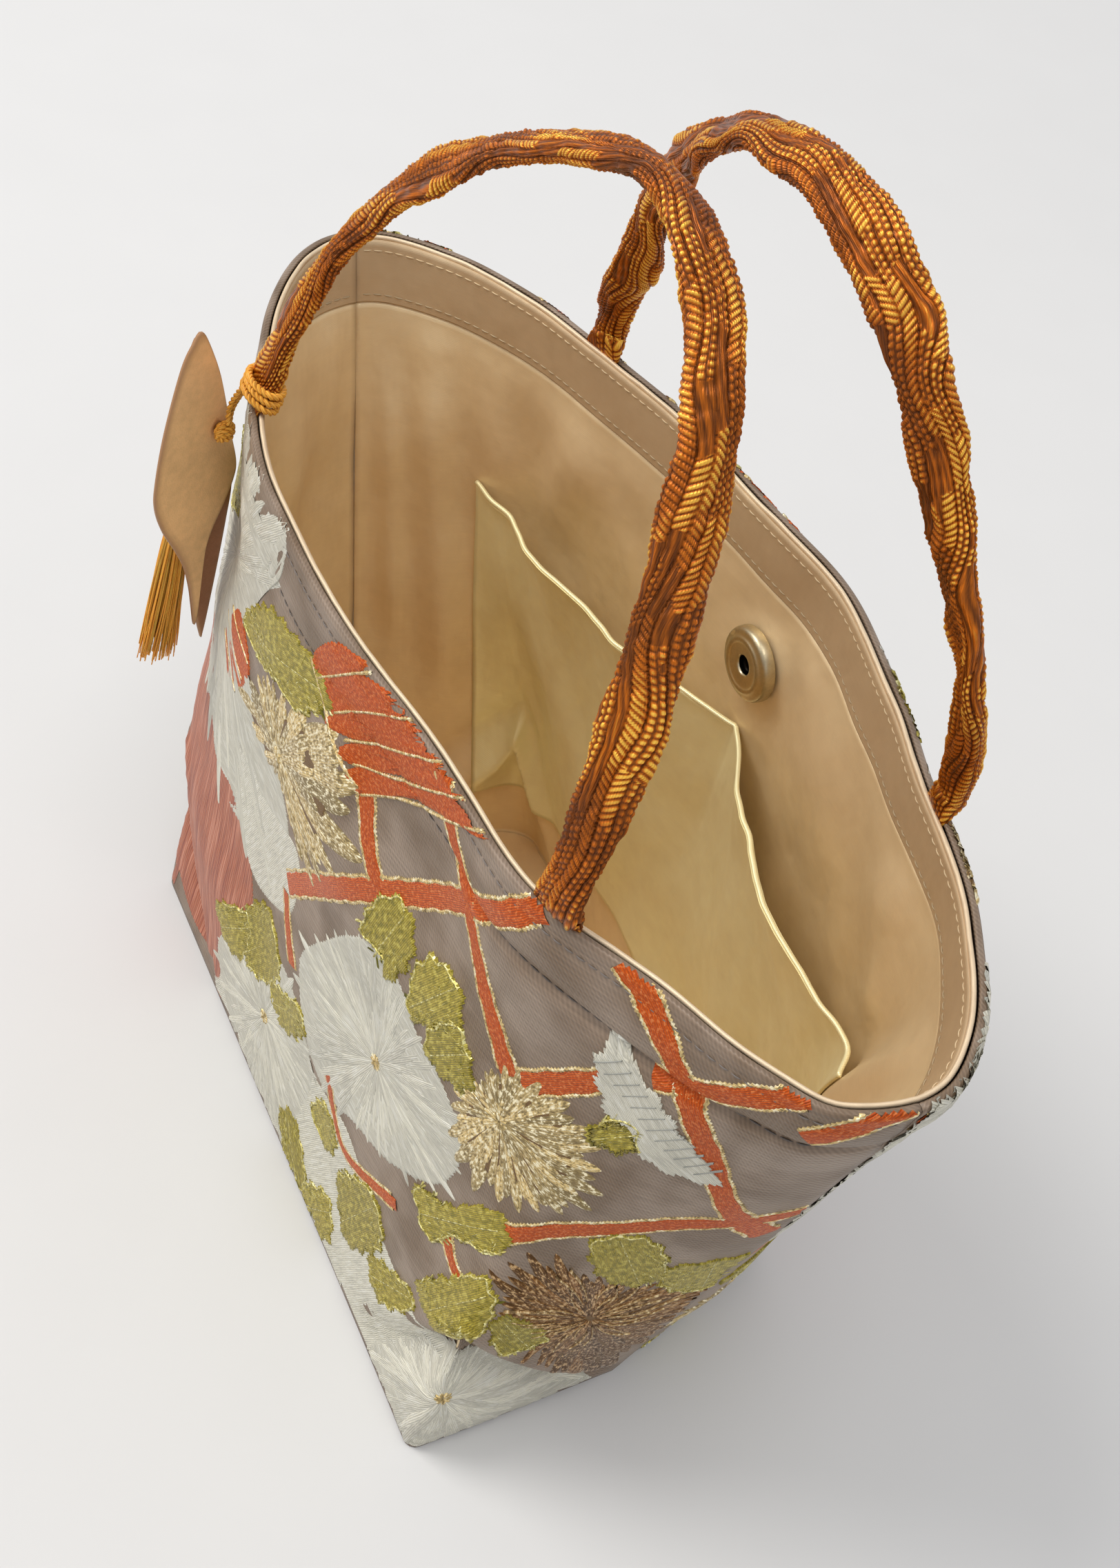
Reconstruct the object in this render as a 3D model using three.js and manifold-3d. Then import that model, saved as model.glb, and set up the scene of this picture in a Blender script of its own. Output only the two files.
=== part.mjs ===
// Silk tote bag with a boxed base, two braided cord handles, a satin lining with a slip pocket,
// a magnetic snap, and a leather tag with a tassel.
// Millimetres, +Z up. The origin is the middle of the base, on the surface that the bag stands on.
// X runs along the mouth, the front wall is on the -Y side and the back wall on the +Y side.
import * as THREE from 'three';
import Module from 'manifold-3d';
import { mergeVertices } from 'three/addons/utils/BufferGeometryUtils.js';

// Bag body
const mouthLength = 260;
const mouthWidth = 107;
const mouthFullness = 1.9;          // 2 is an ellipse, less is a more pointed lens
const bagHeight = 180;
const baseLength = 180;
const baseWidth = 109;
const backDrawIn = 16;              // the soft back corners of the base stand in from its ends
const gussetFoldDepth = 4;          // the valley above each base corner
const gussetFoldHeight = 52;
const gussetFoldWidth = 12;

// Layers of the wall, from outside to inside
const brocadeThickness = 1.0;
const interliningThickness = 0.8;
const satinThickness = 0.6;
const boardThickness = 1.5;
const clearance = 0.3;
const facingDepth = 15;
const rimRollRadius = 0.6;

// Slip pocket on the back lining
const pocketWidth = 218;            // along the wall
const pocketTopHeight = 125;
const pocketBottomHeight = 25;
const pocketSlack = 14;             // how far each half stands open at the top

// Cord handles
const handleSpacing = 147;          // between the two feet of one handle
const cordWidth = 10.5;
const cordThickness = 4.8;
const frontHandleRise = 99;
const backHandleRise = 93;
const frontHandleLean = 18;         // degrees inward at rest
const backHandleLean = 12;
const frontInwardSwing = 3;         // degrees further inward
const backInwardSwing = 9;
const footRise = 7;                 // the sewn foot above the rim
const tongueLength = 12;            // its flattened end inside the wall
const tongueThickness = 0.7;
const hingeStandOff = 1.5;          // the cord bends over the outer edge of the rim

// Magnetic snap
const snapDrop = 34;                // below the rim
const snapDiameter = 18;
const socketHeight = 3.8;
const snapSheet = 0.6;
const socketMouth = 6;
const magnetHeight = 1.3;
const studHeight = 1.8;
const studBossDiameter = 5;
const studBossHeight = 2.4;
const washerDiameter = 15;
const prongWidth = 3.4;
const prongThickness = 0.5;
const prongSpacing = 8;

// Tag, tie and tassel at the left foot of the front handle
const tagLength = 60;
const tagBackLength = 86;
const tagWidth = 26;
const tagShoulder = 40;             // from the top corner down to the widest place
const tagHoleDrop = 26.4;
const tagHoleOffset = 6.4;
const tagHoleRadius = 1.3;
const leatherThickness = 1.2;
const tagHeading = 25;              // degrees that the face turns from +X towards +Y
const tagReach = new THREE.Vector3(-10.5, -8, -13.2);   // from the rim beside the foot to the hole
const tieRadius = 0.9;
const tieSlack = 0.7;               // round the cord's foot
const knotRadius = 2.5;
const tasselHeadRadius = 2.6;
const tasselHeadLength = 7;
const tasselSkirtLength = 41;
const tasselSkirtWidth = 12;
const tasselDrop = 22;              // of the head's top below the hole
const tasselOffset = 5;
const tasselLean = 6;               // degrees outward

// Fineness of the model
const columnStep = 12;
const rowStep = 20;
const cordSides = 12;
const cordRings = 41;
const tieRings = 28;

const halfMouth = mouthLength / 2;
const halfMouthWidth = mouthWidth / 2;
const halfBase = baseLength / 2;
const halfBaseWidth = baseWidth / 2;
const panelWidth = baseLength + baseWidth;
const cornerShare = halfBaseWidth / panelWidth;
const seamShare = clearance / 2 / panelWidth;
const pocketShare = (1 - pocketWidth / panelWidth) / 2;
const facingSeam = bagHeight - facingDepth;

// Depth of each layer inside the outer surface, and heights in the stack on the base
const interliningDepth = brocadeThickness + clearance;
const liningDepth = interliningDepth + interliningThickness + clearance;
const wallDepth = liningDepth + satinThickness;
const footDepth = interliningDepth + interliningThickness / 2;
const boardZ = brocadeThickness + clearance;
const liningFloorZ = boardZ + boardThickness + clearance;

const wasm = await Module();
wasm.setup();

const radians = THREE.MathUtils.degToRad;
const vector = (x, y, z) => new THREE.Vector3(x, y, z);

// Materials
const finish = (color, roughness, metalness = 0) =>
  new THREE.MeshStandardMaterial({ color, roughness, metalness });
const brocade = () => finish('#c3bcb8', 0.55);
const satin = () => finish('#cda877', 0.4);
const facingSatin = () => finish('#b4946a', 0.45);
const creamSatin = () => finish('#efe0c6', 0.45);
const stiffener = () => finish('#e9e6df', 0.9);
const board = () => finish('#9b8468', 0.9);
const silkCord = () => finish('#c87814', 0.4);
const silkThread = () => finish('#f0a03c', 0.45);
const leather = () => finish('#b4875a', 0.65);
const antiqueBrass = () => finish('#b3a076', 0.35, 1);
const darkMagnet = () => finish('#3c3a38', 0.5, 0.6);

// Ruled values between fixed marks, no further apart than the step
function marksBetween(marks, step) {
  const sorted = [...new Set(marks)].sort((a, b) => a - b);
  const values = [sorted[0]];
  sorted.slice(1).forEach((end, k) => {
    const count = Math.ceil((end - sorted[k]) / step);
    for (let i = 1; i <= count; i++) values.push(sorted[k] + (end - sorted[k]) * i / count);
  });
  return values;
}

const columnMarks = [0, pocketShare, cornerShare, 0.5, 1 - cornerShare, 1 - pocketShare, 1];
const sharedColumns = marksBetween(columnMarks, columnStep / panelWidth);
const rowMarks = [0, liningFloorZ, pocketBottomHeight, pocketTopHeight, facingSeam, bagHeight];
const sharedRows = marksBetween(rowMarks, rowStep);

const columnsBetween = (low, high) =>
  [low, ...sharedColumns.filter((s) => s > low + seamShare && s < high - seamShare), high];
const rowsBetween = (low, high) =>
  [low, ...sharedRows.filter((z) => z > low + clearance && z < high - clearance), high];

// The mouth outline: angles spaced evenly along its length, so a share of the panel gives a place on it
const lensAngles = (() => {
  const count = 600;
  const lengths = [0];
  const at = (k) => lensAt(Math.PI * k / count, 0);
  for (let k = 1; k <= count; k++) lengths.push(lengths[k - 1] + at(k).distanceTo(at(k - 1)));
  return { count, lengths };
})();

function lensAt(angle, depth) {
  const power = 2 / mouthFullness;
  const cosine = Math.cos(angle);
  const x = -(halfMouth - depth) * Math.sign(cosine) * Math.abs(cosine) ** power;
  return new THREE.Vector2(x, (halfMouthWidth - depth) * Math.abs(Math.sin(angle)) ** power);
}

function lensAngle(share) {
  const { count, lengths } = lensAngles;
  const target = share * lengths[count];
  let k = 1;
  while (k < count && lengths[k] < target) k++;
  const part = (target - lengths[k - 1]) / (lengths[k] - lengths[k - 1]);
  return Math.PI * (k - 1 + part) / count;
}

// Half the base's length at a place across it: it narrows behind the side seams
const halfLengthAt = (y) => halfBase - backDrawIn * Math.max(0, y) / halfBaseWidth;

// The base outline along one wall, from the left side seam round both corners to the right one
function baseAt(side, share, depth) {
  const fromSeam = Math.min(share, 1 - share, cornerShare) / cornerShare;
  const y = (halfBaseWidth - depth) * fromSeam;
  const along = THREE.MathUtils.clamp((share - cornerShare) / (1 - 2 * cornerShare), 0, 1);
  return new THREE.Vector2((halfLengthAt(side * y) - depth) * (2 * along - 1), y);
}

// The valley that rises from the foot of each side seam to above the base corner
function gussetFold(share, z) {
  const fromSeam = Math.min(share, 1 - share) / cornerShare;
  const valley = gussetFoldHeight * Math.min(fromSeam, 1);
  const across = Math.exp(-(((z - valley) / gussetFoldWidth) ** 2));
  const low = Math.min(Math.max(z, 0) / gussetFoldWidth, 1);
  const fade = Math.max(0, 1 - Math.max(0, fromSeam - 1) / 0.6);
  const turn = Math.min(fromSeam, 2) * Math.PI / 4;
  const depth = gussetFoldDepth * across * low * fade;
  return new THREE.Vector2(Math.cos(turn) * Math.sign(0.5 - share), -Math.sin(turn)).multiplyScalar(depth);
}

// A point of the bag's wall. side is -1 on the front and 1 on the back, share runs from the left
// side seam to the right one, depth is measured inward from the outer surface.
function wallPoint(side, share, z, depth) {
  const flat = baseAt(side, share, depth).lerp(lensAt(lensAngle(share), depth), z / bagHeight);
  flat.add(gussetFold(share, z));
  return vector(flat.x, side * flat.y, z);
}

// Turns the faces outward when the signed volume says that they point in
function outward(geometry) {
  const position = geometry.getAttribute('position');
  const index = geometry.getIndex();
  const corners = [0, 1, 2].map(() => vector(0, 0, 0));
  let volume = 0;
  for (let i = 0; i < index.count; i += 3) {
    corners.forEach((corner, k) => corner.fromBufferAttribute(position, index.getX(i + k)));
    volume += corners[0].dot(corners[1].clone().cross(corners[2]));
  }
  if (volume < 0) {
    const flipped = [];
    for (let i = 0; i < index.count; i += 3) {
      flipped.push(index.getX(i), index.getX(i + 2), index.getX(i + 1));
    }
    geometry.setIndex(flipped);
  }
  return geometry;
}

function geometryFrom(points, triangles) {
  const geometry = new THREE.BufferGeometry();
  geometry.setAttribute('position', new THREE.Float32BufferAttribute(points.flatMap((p) => p.toArray()), 3));
  geometry.setIndex(triangles.flat());
  return outward(geometry);
}

const quad = (a, b, c, d) => [[a, b, c], [a, c, d]];

// A sheet with thickness: two grids of points, joined round their edges
function sheetSolid(outerRows, innerRows) {
  const rows = outerRows.length;
  const columns = outerRows[0].length;
  const outer = (j, i) => j * columns + i;
  const inner = (j, i) => (rows + j) * columns + i;
  const triangles = [];
  for (let j = 0; j < rows - 1; j++) {
    for (let i = 0; i < columns - 1; i++) {
      triangles.push(...quad(outer(j, i), outer(j, i + 1), outer(j + 1, i + 1), outer(j + 1, i)));
      triangles.push(...quad(inner(j, i), inner(j + 1, i), inner(j + 1, i + 1), inner(j, i + 1)));
    }
    const last = columns - 1;
    triangles.push(...quad(outer(j, 0), outer(j + 1, 0), inner(j + 1, 0), inner(j, 0)));
    triangles.push(...quad(outer(j, last), inner(j, last), inner(j + 1, last), outer(j + 1, last)));
  }
  for (let i = 0; i < columns - 1; i++) {
    const last = rows - 1;
    triangles.push(...quad(outer(0, i), inner(0, i), inner(0, i + 1), outer(0, i + 1)));
    triangles.push(...quad(outer(last, i), outer(last, i + 1), inner(last, i + 1), inner(last, i)));
  }
  return geometryFrom([...outerRows.flat(), ...innerRows.flat()], triangles);
}

// A solid skinned over rings of points, closed on itself or capped at both ends
function ringSolid(rings, closed = false) {
  const sides = rings[0].length;
  const points = rings.flat();
  const triangles = [];
  const bands = closed ? rings.length : rings.length - 1;
  for (let j = 0; j < bands; j++) {
    const next = (j + 1) % rings.length;
    for (let i = 0; i < sides; i++) {
      const k = (i + 1) % sides;
      triangles.push(...quad(j * sides + i, j * sides + k, next * sides + k, next * sides + i));
    }
  }
  if (!closed) {
    [0, rings.length - 1].forEach((j) => {
      const centre = rings[j].reduce((sum, p) => sum.add(p), vector(0, 0, 0)).divideScalar(sides);
      points.push(centre);
      for (let i = 0; i < sides; i++) {
        const edge = [j * sides + i, j * sides + (i + 1) % sides];
        if (j === 0) edge.reverse();
        triangles.push([...edge, points.length - 1]);
      }
    });
  }
  return geometryFrom(points, triangles);
}

// A flat rounded section: a ring of points about a centre
function sectionRing(centre, across, through, width, thickness, sides = cordSides) {
  return Array.from({ length: sides }, (_, i) => {
    const angle = 2 * Math.PI * i / sides;
    const wide = Math.sign(Math.cos(angle)) * Math.abs(Math.cos(angle)) ** 0.8 * width / 2;
    const thick = Math.sign(Math.sin(angle)) * Math.abs(Math.sin(angle)) ** 0.8 * thickness / 2;
    return centre.clone().addScaledVector(across, wide).addScaledVector(through, thick);
  });
}

// A round tube along a curve, with any end form set by the radius function
function tubeSolid(curve, steps, radiusAt, sides = 8) {
  const frames = curve.computeFrenetFrames(steps, false);
  const rings = frames.tangents.map((_, i) => {
    const centre = curve.getPointAt(i / steps);
    const size = 2 * radiusAt(i / steps);
    return sectionRing(centre, frames.normals[i], frames.binormals[i], size, size, sides);
  });
  return ringSolid(rings);
}

// Booleans
function toManifold(geometry) {
  const bare = geometry.clone();
  bare.deleteAttribute('normal');
  bare.deleteAttribute('uv');
  const merged = mergeVertices(bare, 1e-4);
  return new wasm.Manifold(new wasm.Mesh({
    numProp: 3,
    vertProperties: new Float32Array(merged.getAttribute('position').array),
    triVerts: new Uint32Array(merged.getIndex().array),
  }));
}

function fromManifold(solid) {
  const result = solid.getMesh();
  const geometry = new THREE.BufferGeometry();
  geometry.setAttribute('position', new THREE.BufferAttribute(result.vertProperties, 3));
  geometry.setIndex(new THREE.BufferAttribute(result.triVerts, 1));
  return geometry;
}

const cutBy = (geometry, tools) =>
  fromManifold(tools.reduce((solid, tool) => solid.subtract(toManifold(tool)), toManifold(geometry)));
const joined = (geometry, others) =>
  fromManifold(others.reduce((solid, other) => solid.add(toManifold(other)), toManifold(geometry)));

// One layer of wall between two depths and two heights
function wallLayer(side, depth, thickness, low, high, from = seamShare, to = 1 - seamShare) {
  const columns = columnsBetween(from, to);
  const gridAt = (d) => rowsBetween(low, high).map((z) => columns.map((s) => wallPoint(side, s, z, d)));
  return { columns, outer: gridAt(depth), inner: gridAt(depth + thickness) };
}

// Adds a floor to a wall layer: its lowest row is drawn in to straight lines across the base,
// one at the middle and, on the panel that carries the whole base, one by the other wall
function withFloor(layer, side, depth, thickness, floorZ, wholeBase) {
  const { columns, outer, inner } = layer;
  const far = depth + thickness + clearance;
  const lineAt = (y, z) => columns.map((s) => {
    const along = (s - columns[0]) / (columns[columns.length - 1] - columns[0]);
    return vector((halfLengthAt(y) - far) * (2 * along - 1), y, z);
  });
  const middle = side * clearance / 2;
  const stops = wholeBase ? [middle, -side * (halfBaseWidth - far)] : [middle];
  inner[0].forEach((p) => p.setZ(floorZ + thickness));
  stops.forEach((y) => {
    outer.unshift(lineAt(y, floorZ));
    inner.unshift(lineAt(y, floorZ + thickness));
  });
  return layer;
}

function outerPanels() {
  const front = wallLayer(-1, 0, brocadeThickness, 0, bagHeight);
  withFloor(front, -1, 0, brocadeThickness, 0, true);
  const back = wallLayer(1, 0, brocadeThickness, 0, bagHeight);
  return {
    outer_front_panel: [sheetSolid(front.outer, front.inner), brocade()],
    outer_back_panel: [sheetSolid(back.outer, back.inner), brocade()],
  };
}

// The snap sits on the lining, in the middle of the mouth's length
const snapZ = bagHeight - snapDrop;
const snapDepthAt = (depth) => Math.abs(wallPoint(1, 0.5, snapZ, depth).y);

// A shape centred on the snap's line, at a depth in the wall
function acrossWall(shape, side, depth, x = 0) {
  return shape.translate(x, side * snapDepthAt(depth), snapZ);
}

const prongSlots = (side) => [-1, 1].map((end) => acrossWall(
  new THREE.BoxGeometry(prongThickness + 2 * clearance, 4 * satinThickness, prongWidth + 2 * clearance),
  side, liningDepth + satinThickness / 2, end * prongSpacing / 2));

function stiffeners() {
  const window = (side) => acrossWall(
    new THREE.CylinderGeometry(1, 1, 4 * interliningThickness, 24)
      .scale(washerDiameter / 2 + clearance, 1, washerDiameter / 2 + clearance),
    side, interliningDepth + interliningThickness / 2);
  const panel = (side) => {
    const layer = wallLayer(side, interliningDepth, interliningThickness, liningFloorZ, facingSeam);
    return cutBy(sheetSolid(layer.outer, layer.inner), [window(side)]);
  };
  return {
    front_interlining: [panel(-1), stiffener()],
    back_interlining: [panel(1), stiffener()],
  };
}

function baseBoard() {
  const inset = interliningDepth;
  const corner = 3;
  const width = halfBaseWidth - inset;
  const side = [[halfBase - inset, -width], [halfBase - inset, 0], [halfLengthAt(width) - inset, width]]
    .map(([x, y]) => new THREE.Vector2(x, y));
  const corners = [...side, ...side.map((p) => new THREE.Vector2(-p.x, p.y)).reverse()];
  const outline = new THREE.Shape();
  corners.forEach((p, i) => {
    const before = corners[(i + corners.length - 1) % corners.length];
    const after = corners[(i + 1) % corners.length];
    const start = p.clone().lerp(before, corner / p.distanceTo(before));
    const end = p.clone().lerp(after, corner / p.distanceTo(after));
    outline[i ? 'lineTo' : 'moveTo'](start.x, start.y);
    outline.quadraticCurveTo(p.x, p.y, end.x, end.y);
  });
  const plate = new THREE.ExtrudeGeometry(outline, {
    depth: boardThickness, bevelEnabled: false, curveSegments: 4,
  });
  plate.translate(0, 0, boardZ);
  return { base_board: [plate, board()] };
}

function linings() {
  const panel = (side) => {
    const layer = wallLayer(side, liningDepth, satinThickness, liningFloorZ, facingSeam - clearance);
    withFloor(layer, side, liningDepth, satinThickness, liningFloorZ, false);
    return cutBy(sheetSolid(layer.outer, layer.inner), prongSlots(side));
  };
  const facing = (side) => {
    const layer = wallLayer(side, liningDepth, satinThickness, facingSeam, bagHeight);
    return sheetSolid(layer.outer, layer.inner);
  };
  return {
    front_lining: [panel(-1), satin()],
    back_lining: [panel(1), satin()],
    front_facing: [facing(-1), facingSatin()],
    back_facing: [facing(1), facingSatin()],
  };
}

// The rolled edge of the facing, one loop round the mouth
function rimRoll() {
  const depth = liningDepth + rimRollRadius;
  const z = bagHeight + clearance + rimRollRadius;
  const along = (side, shares) => shares.map((s) => wallPoint(side, s, bagHeight, depth).setZ(z));
  const inside = sharedColumns.slice(1, -1);
  const loop = [...along(-1, [0, ...inside, 1]), ...along(1, [...inside].reverse())];
  const rings = loop.map((p, i) => {
    const before = loop[(i + loop.length - 1) % loop.length];
    const after = loop[(i + 1) % loop.length];
    const across = vector(after.y - before.y, before.x - after.x, 0).normalize();
    return sectionRing(p, across, vector(0, 0, 1), 2 * rimRollRadius, 2 * rimRollRadius, 6);
  });
  return { rim_roll: [ringSolid(rings, true), creamSatin()] };
}

// The pocket: a satin sheet sewn at its sides, bottom and middle, slack along its top
function slipPocket() {
  const columns = columnsBetween(pocketShare, 1 - pocketShare);
  const rows = rowsBetween(pocketBottomHeight, pocketTopHeight);
  const slack = (s, z) => {
    const half = 2 * Math.abs(s - 0.5) / (1 - 2 * pocketShare);
    const height = (z - pocketBottomHeight) / (pocketTopHeight - pocketBottomHeight);
    return pocketSlack * Math.sin(Math.PI * half) * height ** 1.5;
  };
  const gridAt = (thickness) => rows.map((z) => columns.map((s) => {
    const seated = wallPoint(1, s, z, wallDepth + clearance + thickness);
    const inward = vector(-seated.x * (halfMouthWidth / halfMouth) ** 2, -seated.y, 0).normalize();
    return seated.addScaledVector(inward, Math.max(0, slack(s, z)));
  }));
  return { slip_pocket: [sheetSolid(gridAt(0), gridAt(satinThickness)), satin()] };
}

// A turned piece on the lining's inner face, its base to the wall and its axis along Y
function onLining(geometry, side) {
  if (side > 0) geometry.rotateX(Math.PI);
  return geometry.translate(0, side * (snapDepthAt(wallDepth) - clearance), snapZ);
}

const turned = (points) => new THREE.LatheGeometry(points.map(([r, h]) => new THREE.Vector2(r, h)), 24);

// Two blades from inside the snap's base, through the lining, to the washer's far face
function prongs(side) {
  const near = snapDepthAt(wallDepth) - clearance - snapSheet / 2;
  const far = snapDepthAt(footDepth) + snapSheet / 2;
  return [-1, 1].map((end) => new THREE.BoxGeometry(prongThickness, far - near, prongWidth)
    .translate(end * prongSpacing / 2, side * (near + far) / 2, snapZ));
}

function washer(side) {
  const disc = new THREE.CylinderGeometry(washerDiameter / 2, washerDiameter / 2, snapSheet, 24);
  return cutBy(acrossWall(disc, side, footDepth), prongSlots(side).map((slot) =>
    slot.translate(0, side * (liningDepth - footDepth), 0)));
}

function snapFastener() {
  const radius = snapDiameter / 2;
  const inner = radius - snapSheet;
  const edge = 0.8;
  const casing = turned([
    [0, 0], [radius, 0], [radius, socketHeight - edge], [radius - edge, socketHeight],
    [socketMouth / 2, socketHeight - 0.2], [socketMouth / 2, socketHeight - 0.2 - snapSheet],
    [inner, socketHeight - edge - snapSheet], [inner, snapSheet], [0, snapSheet],
  ]);
  const magnetOuter = inner - clearance;
  const magnetInner = socketMouth / 2 + clearance;
  const low = snapSheet + clearance;
  const magnet = turned([
    [magnetInner, low], [magnetOuter, low], [magnetOuter, low + magnetHeight - edge],
    [magnetOuter - edge, low + magnetHeight], [magnetInner, low + magnetHeight], [magnetInner, low],
  ]);
  const boss = studBossDiameter / 2;
  const stud = turned([
    [0, 0], [radius, 0], [radius, studHeight - edge], [radius - edge, studHeight],
    [boss, studHeight - 0.2], [boss, studHeight + studBossHeight - edge],
    [boss - edge, studHeight + studBossHeight], [0, studHeight + studBossHeight],
  ]);
  return {
    snap_socket: [joined(onLining(casing, 1), prongs(1)), antiqueBrass()],
    snap_magnet: [onLining(magnet, 1), darkMagnet()],
    snap_socket_washer: [washer(1), antiqueBrass()],
    snap_stud: [joined(onLining(stud, -1), prongs(-1)), antiqueBrass()],
    snap_stud_washer: [washer(-1), antiqueBrass()],
  };
}

// Where a handle's foot stands on the mouth outline
const footCosine = (handleSpacing / 2 / halfMouth) ** (mouthFullness / 2);
const footShare = (() => {
  const { count, lengths } = lensAngles;
  const place = Math.acos(footCosine) / Math.PI * count;
  return lengths[Math.round(place)] / lengths[count];
})();

// The frame of one handle: its foot centres, its lean and its hinge line
function handleFrame(side, lean) {
  const footY = side * Math.abs(wallPoint(side, footShare, bagHeight, footDepth).y);
  const up = vector(0, -side * Math.sin(radians(lean)), Math.cos(radians(lean)));
  const out = vector(0, side * Math.cos(radians(lean)), Math.sin(radians(lean)));
  const top = bagHeight + footRise;
  const hinge = vector(0, footY, top).addScaledVector(out, footDepth + hingeStandOff);
  return { side, footY, up, out, top, hinge };
}

const frontFrame = handleFrame(-1, frontHandleLean);
const backFrame = handleFrame(1, backHandleLean);

// The sewn foot: a flat tongue between the outer panel and the facing, swelling above the rim
function handleFoot(frame, end) {
  const x = end * handleSpacing / 2;
  const share = end < 0 ? footShare : 1 - footShare;
  const ahead = wallPoint(frame.side, share + 0.01, bagHeight, footDepth);
  const along = ahead.sub(wallPoint(frame.side, share - 0.01, bagHeight, footDepth)).normalize();
  const xAxis = vector(1, 0, 0);
  const stations = [
    { z: bagHeight - tongueLength, turn: 0, outer: -tongueThickness / 2, inner: tongueThickness / 2 },
    { z: bagHeight + clearance, turn: 0, outer: -tongueThickness / 2, inner: tongueThickness / 2 },
    { z: bagHeight + 2.2, turn: 0.4, outer: -0.8 * cordThickness / 2, inner: tongueThickness / 2 },
    { z: bagHeight + 4, turn: 0.8, outer: -cordThickness / 2, inner: cordThickness / 2 },
  ];
  const rings = stations.map(({ z, turn, outer, inner }) => {
    const across = along.clone().lerp(xAxis, turn).normalize();
    const through = vector(across.y, -across.x, 0).multiplyScalar(frame.side);
    const onWall = wallPoint(frame.side, share, Math.min(z, bagHeight), footDepth);
    const centre = vector(onWall.x, onWall.y, z).addScaledVector(through, (outer + inner) / 2);
    return sectionRing(centre, across, through, cordWidth, inner - outer);
  });
  const topCentre = vector(x, frame.footY, frame.top);
  rings.push(sectionRing(topCentre, xAxis, frame.out.clone().negate(), cordWidth, cordThickness));
  return ringSolid(rings);
}

// Handle routes from foot to foot: shares of half the spacing across and of the rise upward
const frontRoute = [
  [-1, 0], [-0.99, 0.14], [-0.94, 0.31], [-0.82, 0.49], [-0.63, 0.67], [-0.4, 0.815], [-0.12, 0.94],
  [0.15, 1], [0.38, 0.96], [0.57, 0.85], [0.71, 0.695], [0.85, 0.45], [0.96, 0.2], [1, 0],
];
const backRoute = [
  [-1, 0], [-0.94, 0.13], [-0.82, 0.29], [-0.69, 0.53], [-0.5, 0.745], [-0.24, 0.915], [0.05, 0.995],
  [0.3, 0.98], [0.52, 0.88], [0.68, 0.73], [0.8, 0.55], [0.93, 0.38], [1, 0.18], [1, 0],
];

// The cord lies flat to the wall at its feet and turns a quarter to lie flat in the hand
function cordTwist(part) {
  const fromFoot = Math.min(part, 1 - part) / 0.3;
  return Math.PI / 2 * THREE.MathUtils.smoothstep(fromFoot, 0, 1);
}

function handleCord(frame, route, rise, inwardSwing) {
  const base = vector(0, frame.footY, frame.top).addScaledVector(frame.up, clearance);
  const points = route.map(([across, up]) =>
    vector(across * handleSpacing / 2, 0, 0).add(base).addScaledVector(frame.up, up * rise));
  const curve = new THREE.CatmullRomCurve3(points, false, 'centripetal');
  const relief = (point) => {
    const inward = frame.hinge.clone().sub(point).dot(frame.out);
    point.addScaledVector(frame.up, Math.tan(radians(inwardSwing)) * inward);
  };
  const rings = Array.from({ length: cordRings }, (_, i) => {
    const part = i / (cordRings - 1);
    const tangent = curve.getTangentAt(part);
    const inPlane = tangent.clone().cross(frame.out).normalize();
    const twist = cordTwist(part);
    const across = inPlane.clone().multiplyScalar(Math.cos(twist))
      .addScaledVector(frame.out, Math.sin(twist));
    const through = tangent.clone().cross(across).normalize();
    return sectionRing(curve.getPointAt(part), across, through, cordWidth, cordThickness);
  });
  [rings[0], rings[cordRings - 1]].forEach((ring) => ring.forEach((p) => {
    p.addScaledVector(frame.up, base.clone().sub(p).dot(frame.up));
    relief(p);
  }));
  return ringSolid(rings);
}

function handles() {
  return {
    front_foot_left: [handleFoot(frontFrame, -1), silkCord()],
    front_foot_right: [handleFoot(frontFrame, 1), silkCord()],
    back_foot_left: [handleFoot(backFrame, -1), silkCord()],
    back_foot_right: [handleFoot(backFrame, 1), silkCord()],
    front_handle: [handleCord(frontFrame, frontRoute, frontHandleRise, frontInwardSwing), silkCord()],
    back_handle: [handleCord(backFrame, backRoute, backHandleRise, backInwardSwing), silkCord()],
  };
}

// The tag's own frame: x towards the bag, y up, z out of its face, from the middle of the hole
const rimByFoot = vector(-handleSpacing / 2, frontFrame.footY, bagHeight);
const tagHole = rimByFoot.clone().add(tagReach);
const tagFace = vector(Math.cos(radians(tagHeading)), Math.sin(radians(tagHeading)), 0);
const tagPlace = new THREE.Matrix4().makeBasis(
  vector(-tagFace.y, tagFace.x, 0), vector(0, 0, 1), tagFace).setPosition(tagHole);

function kite(length) {
  const half = tagWidth / 2;
  const shoulder = tagHoleDrop - tagShoulder;
  const outline = new THREE.Shape();
  outline.moveTo(-tagHoleOffset, tagHoleDrop);
  outline.lineTo(-tagHoleOffset - half, shoulder);
  outline.lineTo(-tagHoleOffset, tagHoleDrop - length);
  outline.lineTo(-tagHoleOffset + half, shoulder);
  outline.closePath();
  outline.holes.push(new THREE.Path().absarc(0, 0, tagHoleRadius, 0, 2 * Math.PI, true));
  return new THREE.ExtrudeGeometry(outline, {
    depth: leatherThickness, bevelEnabled: false, curveSegments: 6,
  });
}

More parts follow.
